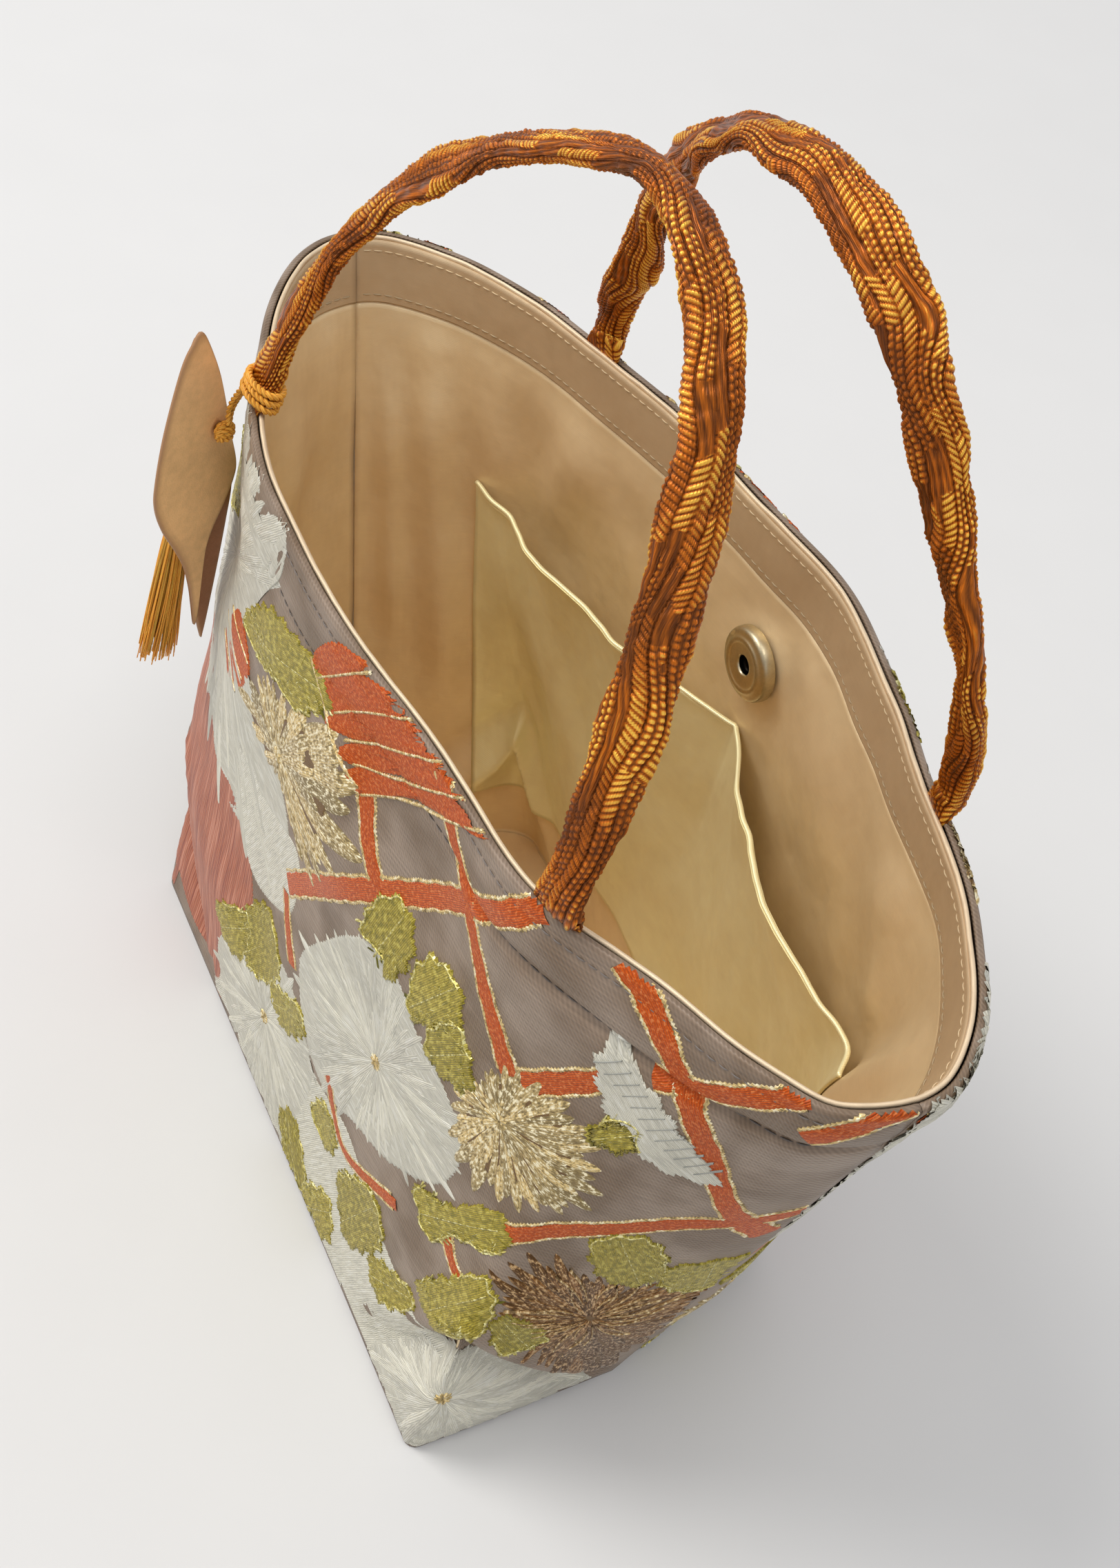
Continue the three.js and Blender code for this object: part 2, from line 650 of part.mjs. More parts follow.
// The tie: a loop round the cord's foot and a strand down to the tag
function tie() {
  const half = cordWidth / 2 + tieSlack + tieRadius;
  const thick = cordThickness / 2 + tieSlack + tieRadius;
  const z = bagHeight + 4.4;
  const rings = Array.from({ length: tieRings }, (_, i) => {
    const angle = 2 * Math.PI * i / tieRings;
    const round = (value) => Math.sign(value) * Math.abs(value) ** 0.75;
    const centre = vector(rimByFoot.x + half * round(Math.cos(angle)),
      rimByFoot.y + thick * round(Math.sin(angle)), z);
    const outwards = vector(Math.cos(angle) / half, Math.sin(angle) / thick, 0).normalize();
    return sectionRing(centre, outwards, vector(0, 0, 1), 2 * tieRadius, 2 * tieRadius, 6);
  });
  const start = vector(rimByFoot.x - half, rimByFoot.y - thick, z - 0.6);
  const end = vector(0, 0, leatherThickness + clearance + knotRadius).applyMatrix4(tagPlace);
  const towards = end.clone().sub(start).normalize();
  end.addScaledVector(towards, -knotRadius - clearance);
  const middle = start.clone().lerp(end, 0.5).add(vector(-0.8, -0.8, 0));
  const strand = new THREE.CatmullRomCurve3([start, middle, end]);
  return {
    tie_loop: [ringSolid(rings, true), silkThread()],
    tie_strand: [tubeSolid(strand, 8, () => tieRadius), silkThread()],
  };
}

function tag() {
  const front = kite(tagLength).applyMatrix4(tagPlace);
  const back = kite(tagBackLength).translate(0, 0, -leatherThickness - clearance).applyMatrix4(tagPlace);
  const peg = new THREE.CylinderGeometry(tieRadius, tieRadius, 2 * leatherThickness + 2 * clearance, 8)
    .rotateX(Math.PI / 2).translate(0, 0, clearance / 2);
  const ball = new THREE.SphereGeometry(knotRadius, 12, 8)
    .translate(0, 0, leatherThickness + clearance + knotRadius * 0.96);
  const knot = joined(ball, [peg]);
  return {
    tag_front_leaf: [front, leather()],
    tag_back_leaf: [back, leather()],
    tag_knot: [knot.applyMatrix4(tagPlace), silkThread()],
  };
}

// The tassel hangs behind the tag from its own thread
const behindTag = -leatherThickness - 2 * clearance;
const tasselBehind = behindTag - tasselHeadRadius;
const threadRadius = 0.7;

function tassel() {
  const place = (geometry) => geometry
    .rotateZ(radians(-tasselLean)).translate(-tasselOffset, -tasselDrop, tasselBehind).applyMatrix4(tagPlace);
  const profile = [
    [0, 0], [0.3, 0.07], [0.75, 0.26], [1, 0.43], [1, 0.54], [0.75, 0.64], [1, 0.77], [1, 1], [0, 1],
  ];
  const head = turned(profile.map(([r, h]) => [r * tasselHeadRadius, -h * tasselHeadLength]).reverse());
  const skirtRings = Array.from({ length: 7 }, (_, i) => {
    const part = i / 6;
    const y = -tasselHeadLength - clearance - tasselSkirtLength * part;
    const spread = THREE.MathUtils.lerp(2 * tasselHeadRadius, tasselSkirtWidth, part ** 0.8);
    const depth = THREE.MathUtils.lerp(2 * tasselHeadRadius, 0.55 * tasselSkirtWidth, part);
    const awayFromTag = tasselHeadRadius - depth / 2;
    return sectionRing(vector(0, y, awayFromTag), vector(1, 0, 0), vector(0, 0, 1), spread, depth, 10);
  });
  const from = vector(0, 0, behindTag - threadRadius);
  const to = vector(-tasselOffset, -tasselDrop + clearance, tasselBehind);
  const bend = vector(0.9 * to.x, to.y / 2, (from.z + to.z) / 2);
  const thread = new THREE.CatmullRomCurve3([from, bend, to]);
  return {
    tassel_thread: [tubeSolid(thread, 8, () => threadRadius, 6).applyMatrix4(tagPlace), silkThread()],
    tassel_head: [place(head), silkThread()],
    tassel_skirt: [place(ringSolid(skirtRings)), silkThread()],
  };
}

// A geometry in a named mesh, about its own middle so that the mesh has a real place
function namedMesh(name, geometry, material) {
  geometry.computeBoundingBox();
  const middle = geometry.boundingBox.getCenter(vector(0, 0, 0));
  geometry.translate(-middle.x, -middle.y, -middle.z);
  geometry.computeVertexNormals();
  const mesh = new THREE.Mesh(geometry, material);
  mesh.name = name;
  mesh.position.copy(middle);
  return mesh;
}

function assembly(parts) {
  const group = new THREE.Group();
  Object.entries(parts).forEach(([name, [geometry, material]]) =>
    group.add(namedMesh(name, geometry, material)));
  return group;
}

const bag = new THREE.Group();
bag.add(
  assembly({ ...outerPanels(), ...stiffeners(), ...baseBoard(), ...linings(), ...rimRoll(), ...slipPocket() }),
  assembly(snapFastener()),
  assembly(handles()),
  assembly({ ...tie(), ...tag(), ...tassel() }),
);

export default bag;
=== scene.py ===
"""Silk tote bag: the cloth, cords, leather and stitching over the fixed frame, laid out as an add-on."""
import math

import bpy
import numpy as np
from mathutils import Matrix, Vector


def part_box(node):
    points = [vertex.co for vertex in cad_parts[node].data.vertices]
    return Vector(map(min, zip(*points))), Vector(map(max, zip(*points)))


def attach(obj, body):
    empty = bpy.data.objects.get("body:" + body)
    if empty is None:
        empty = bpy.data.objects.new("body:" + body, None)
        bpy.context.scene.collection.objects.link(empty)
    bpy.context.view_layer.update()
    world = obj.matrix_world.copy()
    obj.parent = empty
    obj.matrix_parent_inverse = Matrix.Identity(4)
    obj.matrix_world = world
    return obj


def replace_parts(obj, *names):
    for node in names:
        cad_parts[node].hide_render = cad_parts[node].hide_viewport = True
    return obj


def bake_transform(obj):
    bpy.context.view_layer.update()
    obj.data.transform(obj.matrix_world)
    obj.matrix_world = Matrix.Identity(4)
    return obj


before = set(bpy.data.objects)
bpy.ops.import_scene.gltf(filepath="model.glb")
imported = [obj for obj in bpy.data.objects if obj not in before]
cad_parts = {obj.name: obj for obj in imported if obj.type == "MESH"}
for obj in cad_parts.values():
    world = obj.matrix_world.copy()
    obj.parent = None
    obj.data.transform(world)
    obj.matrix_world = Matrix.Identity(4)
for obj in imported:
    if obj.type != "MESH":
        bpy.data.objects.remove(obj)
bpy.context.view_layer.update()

bl_info = {
    "name": "Silk tote bag",
    "version": (1, 0, 0),
    "blender": (4, 5, 0),
    "location": "3D View > Sidebar > Tote",
    "description": "Builds a brocade tote bag with braided handles, satin lining, snap, tag and tassel",
    "category": "Object",
}

MM = 0.001
COLLECTION = "tote"

# The photograph's view: the camera's place, its right, down and forward directions, and its lens
CAMERA_PLACE = (0.24032, -0.16911, 0.44004)
CAMERA_RIGHT = (0.42383, 0.89004, 0.16792)
CAMERA_DOWN = (0.72026, -0.21878, -0.6583)
CAMERA_LENS = 44.1
SENSOR = 36.0
FLOOR_HALF = 3.0
SKY_COLOUR, SKY_STRENGTH = (0.95, 0.965, 1.0, 1), 0.68
LIGHTS = [
    # name, place, size, power, colour
    ("key_light", (-1.24, -1.32, 2.6), 1.5, 50.0, (1.0, 0.975, 0.94)),
    ("front_light", (-0.75, -1.2, 0.6), 0.7, 2.2, (1.0, 0.985, 0.97)),
    ("top_light", (0.6, -0.2, 2.6), 1.2, 15.0, (1.0, 0.985, 0.97)),
]
LIT_POINT = (0.0, 0.0, 0.1)

# Layers of the wall in millimetres, from the outer face inward
BROCADE = (0.0, 1.0)
INTERLINING = (1.3, 2.1)
LINING = (2.4, 3.0)
FACING = (2.4, 3.3)
FOOT_DEPTH = 1.7
FLOOR_Z = 3.1
EDGE_TURN = 1.0
EDGE_OVER = 2.5
SEAM_GAP = 0.05
SIDES = ((-1, "front"), (1, "back"))
# Stitch lines: above the facing seam, and below the rim inside and outside
SEAM_STITCH, RIM_STITCH, OUTER_RIM_STITCH = 1.6, 2.6, 3.2
# How many sine waves make up one soft relief
NOISE_WAVES = 9
# A wave texture of scale 1 repeats at this length
WAVE_PERIOD = 0.314
# Round the snap the wall lies flat: its middle's height, its radius, and the outer face's distance from y = 0
SNAP_Z, SNAP_FLAT, SNAP_SEAT = 146.0, 11.0, 53.7

# Handle routes from foot to foot: shares of half the spacing across and of the rise upward
FRONT_ROUTE = [(-1, 0), (-0.99, 0.14), (-0.94, 0.31), (-0.82, 0.49), (-0.63, 0.67), (-0.4, 0.815),
    (-0.12, 0.94), (0.15, 1), (0.38, 0.96), (0.57, 0.85), (0.71, 0.695), (0.85, 0.45), (0.96, 0.2), (1, 0)]
BACK_ROUTE = [(-1, 0), (-0.94, 0.13), (-0.82, 0.29), (-0.69, 0.53), (-0.5, 0.745), (-0.24, 0.915),
    (0.05, 0.995), (0.3, 0.98), (0.52, 0.88), (0.68, 0.73), (0.8, 0.55), (0.93, 0.38), (1, 0.18), (1, 0)]

# The brocade's motifs on one panel, in millimetres from the middle of the panel and from the base
BLOOMS = [
    # thread, petals, centre, outline
    ("white", 30, (-78, 132), [(-98, 128), (-93, 150), (-86, 178), (-60, 190), (-38, 190), (-26, 188),
     (-24, 176), (-32, 163), (-46, 150), (-56, 137), (-52, 122), (-44, 110), (-30, 112), (-18, 115), (-7, 102),
     (-14, 82), (-24, 76), (-36, 69), (-48, 66), (-58, 62), (-72, 68), (-84, 84), (-94, 104)]),
    ("white", 28, (37, 87), [(-3, 78), (8, 100), (23, 120), (38, 124), (50, 118), (65, 115), (75, 104),
     (71, 83), (54, 67), (36, 59), (16, 48), (3, 58)]),
    ("white", 26, (-16, 32), [(-52, 13), (-46, 34), (-30, 50), (-16, 62), (-4, 67), (10, 61), (17, 43),
     (14, 16), (0, -8), (-28, -8)]),
    ("white", 24, (92, 27), [(62, 8), (79, 36), (95, 42), (113, 32), (126, 17), (141, -4), (112, -12),
     (90, -14), (66, -10)]),
    ("gold_in_painted_shade", 32, (118, 68), [(89, 80), (93, 89), (104, 93), (114, 88), (131, 84), (147, 74), (147, 40),
     (140, 6), (130, 16), (112, 38), (97, 64)]),
    ("gold", 20, (-22, 124), [(-53, 112), (-44, 126), (-27, 143), (-18, 146), (-4, 155), (8, 160), (14, 151),
     (18, 141), (16, 128), (-3, 103), (-13, 111), (-24, 114), (-36, 110), (-42, 111)]),
    ("gold", 24, (77, 122), [(65, 111), (65, 118), (68, 125), (71, 134), (76, 139), (88, 141), (95, 141),
     (99, 136), (103, 128), (103, 118), (100, 109), (93, 106), (86, 101), (78, 95), (71, 97), (65, 102)]),
    ("gold", 22, (-122, 42), [(-143, 30), (-140, 56), (-122, 66), (-102, 54), (-98, 34), (-116, 18)]),
    ("white", 26, (-124, 128), [(-147, 112), (-147, 150), (-126, 166), (-104, 150), (-100, 128), (-112, 100),
     (-132, 92)]),
]
SHADED_GOLD_CENTRE = (118, 68)
LEAVES = [
    [(-52, 139), (-34, 157), (-22, 162), (-11, 164), (-1, 161), (-8, 152), (-14, 146), (-27, 143), (-37, 137),
     (-50, 134)],
    [(26, 132), (32, 139), (38, 137), (41, 131), (39, 122), (35, 115), (32, 120), (24, 118), (24, 124)],
    [(43, 129), (47, 138), (57, 140), (60, 132), (54, 124), (45, 116)],
    [(52, 120), (59, 132), (65, 129), (69, 122), (63, 116), (54, 114)],
    [(-50, 37), (-42, 46), (-33, 52), (-30, 44), (-33, 34), (-44, 30)],
    [(-35, 52), (-24, 67), (-14, 66), (-10, 56), (-21, 40), (-32, 38)],
    [(-16, 47), (-4, 57), (4, 64), (9, 59), (-3, 42), (-12, 40)],
    [(93, 137), (98, 146), (103, 147), (105, 140), (98, 135)],
    [(61, 73), (72, 82), (79, 93), (86, 98), (90, 92), (86, 84), (77, 77), (70, 65)],
    [(107, 102), (111, 109), (118, 111), (125, 104), (129, 90), (123, 84), (114, 89)],
    [(72, 48), (79, 63), (88, 78), (93, 72), (92, 57), (83, 45)],
    [(94, 62), (97, 69), (109, 61), (110, 54), (101, 50)],
    [(127, 92), (134, 100), (147, 100), (147, 80), (138, 76)],
    [(0, 12), (8, 21), (20, 9), (16, -2), (6, 0)],
    [(18, 5), (31, 20), (37, 8), (26, -2)],
    [(33, 33), (48, 51), (57, 39), (43, 18)],
    [(53, 29), (70, 43), (73, 37), (61, 22)],
    [(14, 34), (22, 48), (30, 44), (26, 32)],
    [(-112, 66), (-100, 84), (-92, 78), (-96, 62)],
    [(-140, 70), (-130, 88), (-118, 80), (-124, 66)],
    [(-98, 142), (-88, 160), (-78, 152), (-84, 138)],
    [(-140, 4), (-128, 20), (-116, 12), (-122, 0)],
]
WHITE_LEAF = [(90, 166), (89, 157), (91, 151), (96, 145), (103, 142), (110, 139), (117, 139), (124, 141),
    (117, 148), (109, 154), (104, 158), (99, 160), (95, 163)]
RIBBONS = [
    # width, then the places that it passes
    (5.4, [(-11, 92), (6, 112), (20, 128), (37, 145), (51, 160), (62, 171), (70, 181)]),
    (5.0, [(36, 181), (44, 169), (50, 164), (56, 157), (62, 149), (68, 143), (75, 135)]),
    (4.6, [(12, 156), (18, 143), (27, 133)]),
    (4.6, [(-12, 88), (-3, 71)]),
    (5.0, [(78, 136), (92, 153)]),
    (5.2, [(86, 182), (94, 177), (104, 168), (114, 155), (127, 136), (141, 117)]),
    (5.2, [(100, 162), (111, 169), (126, 182)]),
    (4.8, [(86, 93), (97, 102), (108, 110), (126, 123), (146, 129)]),
    (3.4, [(22, 62), (27, 52), (36, 47), (58, 60)]),
    (3.4, [(72, 80), (78, 70), (88, 66)]),
    (4.8, [(-144, 92), (-124, 104), (-104, 118), (-92, 130)]),
    (4.8, [(-144, 176), (-128, 170), (-108, 160), (-96, 150)]),
    (5.0, [(130, 171), (137, 178), (144, 184)]),
]
RED_FIELDS = [
    [(-12, 164), (-4, 176), (3, 180), (8, 180), (-6, 161)],
    [(-6, 162), (6, 177), (18, 182), (24, 182), (2, 160)],
    [(-2, 157), (22, 180), (34, 182), (14, 165), (5, 158)],
    [(6, 157), (34, 181), (44, 182), (22, 164), (10, 154)],
    [(9, 153), (24, 165), (44, 182), (54, 182), (38, 171), (26, 162), (13, 149)],
    [(-72, 112), (-66, 122), (-57, 135), (-51, 133), (-46, 124), (-55, 110), (-64, 108)],
]
RED_LINES = [
    [(-8, 162), (4, 175), (10, 181)],
    [(0, 160), (12, 172), (24, 182)],
    [(5, 157), (18, 168), (35, 182)],
    [(9, 154), (22, 163), (44, 182)],
    [(13, 149), (26, 161), (38, 170), (52, 182)],
    [(-12, 164), (0, 156), (12, 150)],
    [(-68, 124), (-50, 119)],
    [(-70, 116), (-54, 111)],
    [(-62, 131), (-47, 127)],
]
# The band at the left of the front where the red lattice silk is painted with sheen
RED_SHEEN_BAND = [(-73, 97), (-90, 112), (-104, 100), (-112, 70), (-114, 40), (-100, 10), (-70, -6), (-46, 0),
    (-43, 17), (-33, 42), (-34, 63), (-44, 78), (-56, 90)]
WHITE_FIELDS = [
    [(-74, 112), (-60, 118), (-30, 102), (-8, 106), (-6, 88), (-18, 74), (-32, 66), (-44, 73), (-58, 86),
     (-68, 99)],
    [(-51, 8), (-40, 26), (-30, 46), (-12, 58), (3, 61), (12, 48), (34, 56), (50, 44), (62, 40), (90, 34),
     (124, 12), (140, -2), (120, -10), (80, -12), (40, -10), (0, -10), (-40, -6)],
]
BACK_BLOOMS = [
    ("gold", 16, (-84, 176), [(-98, 168), (-92, 186), (-74, 186), (-66, 176), (-74, 166), (-88, 162)]),
    ("white", 22, (-128, 172), [(-146, 150), (-146, 186), (-112, 186), (-104, 172), (-120, 152)]),
]
BACK_LEAVES = [
    [(-62, 168), (-50, 185), (-36, 185), (-42, 172), (-52, 164)],
    [(-134, 150), (-124, 170), (-115, 166), (-119, 146)],
    [(116, 168), (124, 185), (140, 185), (134, 170)],
    [(20, 170), (30, 186), (44, 184), (36, 168)],
]


def sized(name, default, description):
    return bpy.props.FloatProperty(name=name, description=description, default=default, min=0.0,
                                   unit="LENGTH", subtype="DISTANCE", precision=4)


def coloured(name, default, description):
    return bpy.props.FloatVectorProperty(name=name, description=description, default=default, size=3,
                                         subtype="COLOR", min=0.0, max=1.0)


class ToteSizes(bpy.types.PropertyGroup):
    """The sizes that a maker would change"""
    mouth_length: sized("Mouth length", 0.260, "From one side seam to the other at the rim")
    mouth_width: sized("Mouth width", 0.107, "Across the open mouth")
    bag_height: sized("Height", 0.180, "From the base to the rim")
    base_length: sized("Base length", 0.180, "Along the boxed base")
    base_width: sized("Base width", 0.109, "Across the boxed base")
    back_draw_in: sized("Back corners in", 0.016, "How far the soft back corners stand in")
    facing_depth: sized("Facing depth", 0.015, "From the rim to the facing seam")
    pocket_width: sized("Pocket width", 0.218, "Along the back lining")
    pocket_top: sized("Pocket top", 0.125, "Height of the pocket's open edge")
    pocket_bottom: sized("Pocket bottom", 0.025, "Height of the pocket's lower seam")
    pocket_slack: sized("Pocket slack", 0.014, "How far each half stands open")
    handle_spacing: sized("Handle spacing", 0.147, "Between the feet of one handle")
    front_rise: sized("Front handle rise", 0.099, "Of the front cord above its feet")
    back_rise: sized("Back handle rise", 0.093, "Of the back cord above its feet")
    cord_width: sized("Cord width", 0.0105, "Across the flat braid")
    cord_thickness: sized("Cord thickness", 0.0048, "Through the flat braid")
    stitch_pitch: sized("Stitch pitch", 0.0026, "From one stitch to the next")


class ToteColours(bpy.types.PropertyGroup):
    """The colours of the cloths, threads and fittings"""
    ground: coloured("Ground", (0.195, 0.145, 0.105), "Satin ground of the brocade")
    white: coloured("White floats", (0.73, 0.695, 0.575), "Silver-white silk of the large flowers")
    gold: coloured("Gold floats", (1.0, 0.72, 0.32), "Gold thread")
    # Painted shade: gold thread made darker for the gold flower that lies in shade at the right end of the front
    gold_in_painted_shade: coloured("Gold floats in painted shade", (0.36, 0.165, 0.045), "Gold thread darkened as painted shade")
    green: coloured("Green floats", (0.36, 0.28, 0.03), "Leaves")
    red: coloured("Red ribbons", (0.56, 0.083, 0.002), "The lattice")
    # Painted sheen: the red lattice silk made paler and pinker where the cloth turns away at the left
    red_in_painted_sheen: coloured("Red band in painted sheen", (0.44, 0.14, 0.075), "The broad band at the left")
    satin: coloured("Lining", (0.88, 0.70, 0.43), "Champagne satin")
    facing: coloured("Facing", (0.62, 0.46, 0.28), "Band inside the mouth")
    edge: coloured("Rim edge", (0.80, 0.64, 0.44), "Rolled edge")
    cord: coloured("Cord", (0.47, 0.118, 0.003), "Braided handles")
    thread: coloured("Tie and tassel", (1.0, 0.42, 0.06), "Twisted silk")
    leather: coloured("Leather", (0.78, 0.47, 0.21), "Tag")
    brass: coloured("Fittings", (0.55, 0.47, 0.31), "Antique plating")


# Numbers and curves

def soft_noise(u, v, wavelength, seed, closed=0.0):
    """Smooth relief of about -1 to 1 over a cloth, the same on each run. It repeats in v after closed"""
    draw = np.random.RandomState(seed)
    total = np.zeros(np.broadcast(u, v).shape)
    for _ in range(NOISE_WAVES):
        heading, phase = draw.uniform(0, 2 * math.pi, 2)
        length = wavelength * draw.uniform(0.65, 1.6)
        sine = math.sin(heading)
        if closed:
            sine = round(closed * sine / length) * length / closed
        along = u * math.cos(heading) + v * sine
        total += np.sin(2 * math.pi * along / length + phase)
    return total / math.sqrt(NOISE_WAVES) * 0.8


def smoothstep(low, high, value):
    part = np.clip((value - low) / (high - low), 0, 1)
    return part * part * (3 - 2 * part)


def run_lengths(points):
    """How far along a run of points each of them lies"""
    return np.r_[0, np.cumsum(np.linalg.norm(np.diff(points, axis=0), axis=1))]


def resampled(at, lengths, points):
    """Places at given lengths along a run of points"""
    return np.stack([np.interp(at, lengths, column) for column in points.T], -1)


def spline(a, b, c, d, share):
    """Places from b to c on the smooth curve that passes four points"""
    return 0.5 * (2 * b + (c - a) * share + (2 * a - 5 * b + 4 * c - d) * share ** 2
                  + (3 * b - a - 3 * c + d) * share ** 3)


def through(points, step):
    """A smooth curve through points, resampled at an even step, with its lengths"""
    points = np.asarray(points, float)
    padded = np.vstack([2 * points[0] - points[1], points, 2 * points[-1] - points[-2]])
    share = np.linspace(0, 1, 24, endpoint=False)[:, None]
    spans = [spline(*four, share) for four in zip(padded, padded[1:], padded[2:], padded[3:])]
    fine = np.vstack(spans + [points[-1:]])
    lengths = run_lengths(fine)
    even = np.linspace(0, lengths[-1], max(2, int(round(lengths[-1] / step)) + 1))
    return resampled(even, lengths, fine), even


def closed_curve(outline, step):
    """A smooth closed curve through an outline's points"""
    points = np.array(outline, float)
    share = np.linspace(0, 1, 12, endpoint=False)[:, None]
    fours = zip(*(np.roll(points, shift, 0) for shift in (1, 0, -1, -2)))
    fine = np.vstack([*(spline(*four, share) for four in fours), points[:1]])
    lengths = run_lengths(fine)
    even = np.linspace(0, lengths[-1], 2 * max(5, int(lengths[-1] / step / 2)), endpoint=False)
    return resampled(even, lengths, fine)


def unit(vectors):
    return vectors / np.maximum(np.linalg.norm(vectors, axis=-1, keepdims=True), 1e-9)


def directions(path):
    """The unit tangents of a path"""
    return unit(np.gradient(path, axis=0))


def marked(low, high, step, marks=()):
    """Even values from low to high that also take in the marks"""
    stops = sorted({low, high, *[m for m in marks if low < m < high]})
    spans = [np.linspace(a, b, max(1, math.ceil((b - a) / step)), endpoint=False)
             for a, b in zip(stops, stops[1:])]
    return np.concatenate(spans + [[high]])


class Wall:
    """The bag's soft wall: from a place on the cloth to a place in space, in millimetres"""

    # Where the soft mouth stands out from its even lens: place along it, spread, amount outward
    MOUTH_SWELL = {-1: [(-62, 26, 3.0), (34, 26, -3.2), (92, 16, -3.8), (127, 7, 3.0)],
                   1: [(14, 20, 3.0), (-75, 22, -1.4), (68, 16, -1.4)]}
    # Power of the mouth's even lens, where 2 is an ellipse
    FULLNESS = 1.9
    # The valley of the boxed end: how high it starts at the base corner, and how deep it is
    CREASE_RISE, CREASE_DEPTH = 47, 6.4
    # How softly the base's corners turn, in front and behind
    CORNER_RADIUS = {-1: 3.0, 1: 11.0}

    def __init__(self, sizes):
        self.height = sizes.bag_height / MM
        self.half_mouth = sizes.mouth_length / 2 / MM
        self.half_mouth_width = sizes.mouth_width / 2 / MM
        self.half_base = sizes.base_length / 2 / MM
        self.half_base_width = sizes.base_width / 2 / MM
        self.panel = (sizes.base_length + sizes.base_width) / MM
        self.corner = self.half_base_width / self.panel
        self.seam = self.height - sizes.facing_depth / MM
        self.draw_in = sizes.back_draw_in / MM
        self.foot_x = sizes.handle_spacing / 2 / MM
        self.shares = np.linspace(0, 1, 2001)
        self.mouth = {side: self.with_normals(self.mouth_outline(side)) for side in (-1, 1)}
        self.base = {side: self.with_normals(self.base_outline(side)) for side in (-1, 1)}

    def mouth_outline(self, side):
        fullness = 2 / self.FULLNESS
        angle = np.linspace(0, math.pi, 6001)
        cosine = np.cos(angle)
        x = -self.half_mouth * np.sign(cosine) * np.abs(cosine) ** fullness
        y = self.half_mouth_width * np.abs(np.sin(angle)) ** fullness
        lengths = np.r_[0, np.cumsum(np.hypot(np.diff(x), np.diff(y)))]
        x = np.interp(self.shares, lengths / lengths[-1], x)
        y = np.interp(self.shares, lengths / lengths[-1], y)
        for middle, spread, outward in self.MOUTH_SWELL[side]:
            y = y + outward * np.exp(-((x - middle) / spread) ** 2) * smoothstep(0, 12, y)
        return np.stack([x, y], -1)

    def base_outline(self, side):
        share = self.shares
        from_seam = np.minimum(np.minimum(share, 1 - share), self.corner) / self.corner
        y = self.half_base_width * from_seam
        along = np.clip((share - self.corner) / (1 - 2 * self.corner), 0, 1)
        half = self.half_base - (self.draw_in * from_seam if side > 0 else 0)
        outline = np.stack([half * (2 * along - 1), y], -1)
        return self.rounded(outline, self.CORNER_RADIUS[side])

    def rounded(self, outline, radius):
        """Softens the corners of an outline by an even blur along it"""
        reach = int(radius / self.panel * len(self.shares))
        kernel = np.ones(2 * reach + 1) / (2 * reach + 1)
        mirrored = np.vstack([outline[reach:0:-1] * (1, -1), outline, outline[-2:-reach - 2:-1] * (1, -1)])
        return np.stack([np.convolve(mirrored[:, k], kernel, "valid") for k in (0, 1)], -1)

    @staticmethod
    def with_normals(outline):
        along = directions(outline)
        inward = np.stack([along[:, 1], -along[:, 0]], -1)
        inward[0], inward[-1] = (1, 0), (-1, 0)
        return outline, inward

    def gusset_crease(self, share, z):
        """The valley from the foot of a side seam, up over the base corner and down the wall"""
        along = np.minimum(share, 1 - share) / self.corner
        valley = self.CREASE_RISE * np.where(along < 1, along, np.maximum(0, 1 - 1.6 * (along - 1)))
        away = np.hypot(z - valley, 1.3) - 1.3
        sharp = np.exp(-away / 5.0) * 0.55 + np.exp(-((z - valley) / 13) ** 2) * 0.45
        fade = np.clip(1 - (along - 1) / 0.7, 0, 1) * smoothstep(0, 0.12, along)
        overhang = 0.4 * np.exp(-((z - valley - 10) / 6) ** 2)
        return self.CREASE_DEPTH * (sharp - overhang) * fade * smoothstep(0, 9, z)

    def relief(self, side, u, z):
        """How far the whole wall stands out from its even form"""
        seed = 3 if side < 0 else 11
        soft = 1.3 * soft_noise(u, z * 1.3, 95, seed) + 0.30 * soft_noise(u, z, 30, seed + 1)
        soft = soft * smoothstep(4, 45, z) * (1 - 0.55 * smoothstep(self.seam - 12, self.height, z))
        below_corner = 2.2 * np.exp(-((u - 104) / 26) ** 2 - ((z - 20) / 15) ** 2)
        return soft + (below_corner if side < 0 else 0)

    def tag_hollow(self, side, u, z):
        """Where the wall gives way behind the hanging tag, and lower down behind the tassel"""
        if side > 0:
            return 0.0
        spread = np.where(u < -79, 8.5, 14)
        behind_tag = 2.8 * np.exp(-((u + 79) / spread) ** 2 - ((z - 139) / 18) ** 2)
        return behind_tag + 1.3 * np.exp(-((u + 90) / 13) ** 2 - ((z - 98) / 16) ** 2)

    def seam_dimple(self, u, z):
        """The stitched line below the rim draws the layers together, more so towards the right end"""
        deep = 0.45 + 1.1 * smoothstep(30, 110, u) + 0.35 * np.exp(-((u - 66) / 16) ** 2)
        waver = 0.7 * np.sin(u / 9.0) * smoothstep(40, 100, u)
        line = np.exp(-((z - self.seam - waver) / 1.1) ** 2)
        from_seam = z - self.seam
        puff = 0.55 * np.exp(-((from_seam - 7.5) / 5) ** 2) + 0.3 * np.exp(-((from_seam + 6) / 5) ** 2)
        topstitch = 0.22 * np.exp(-((z - self.height + OUTER_RIM_STITCH) / 0.8) ** 2)
        return deep * (line - puff) + topstitch

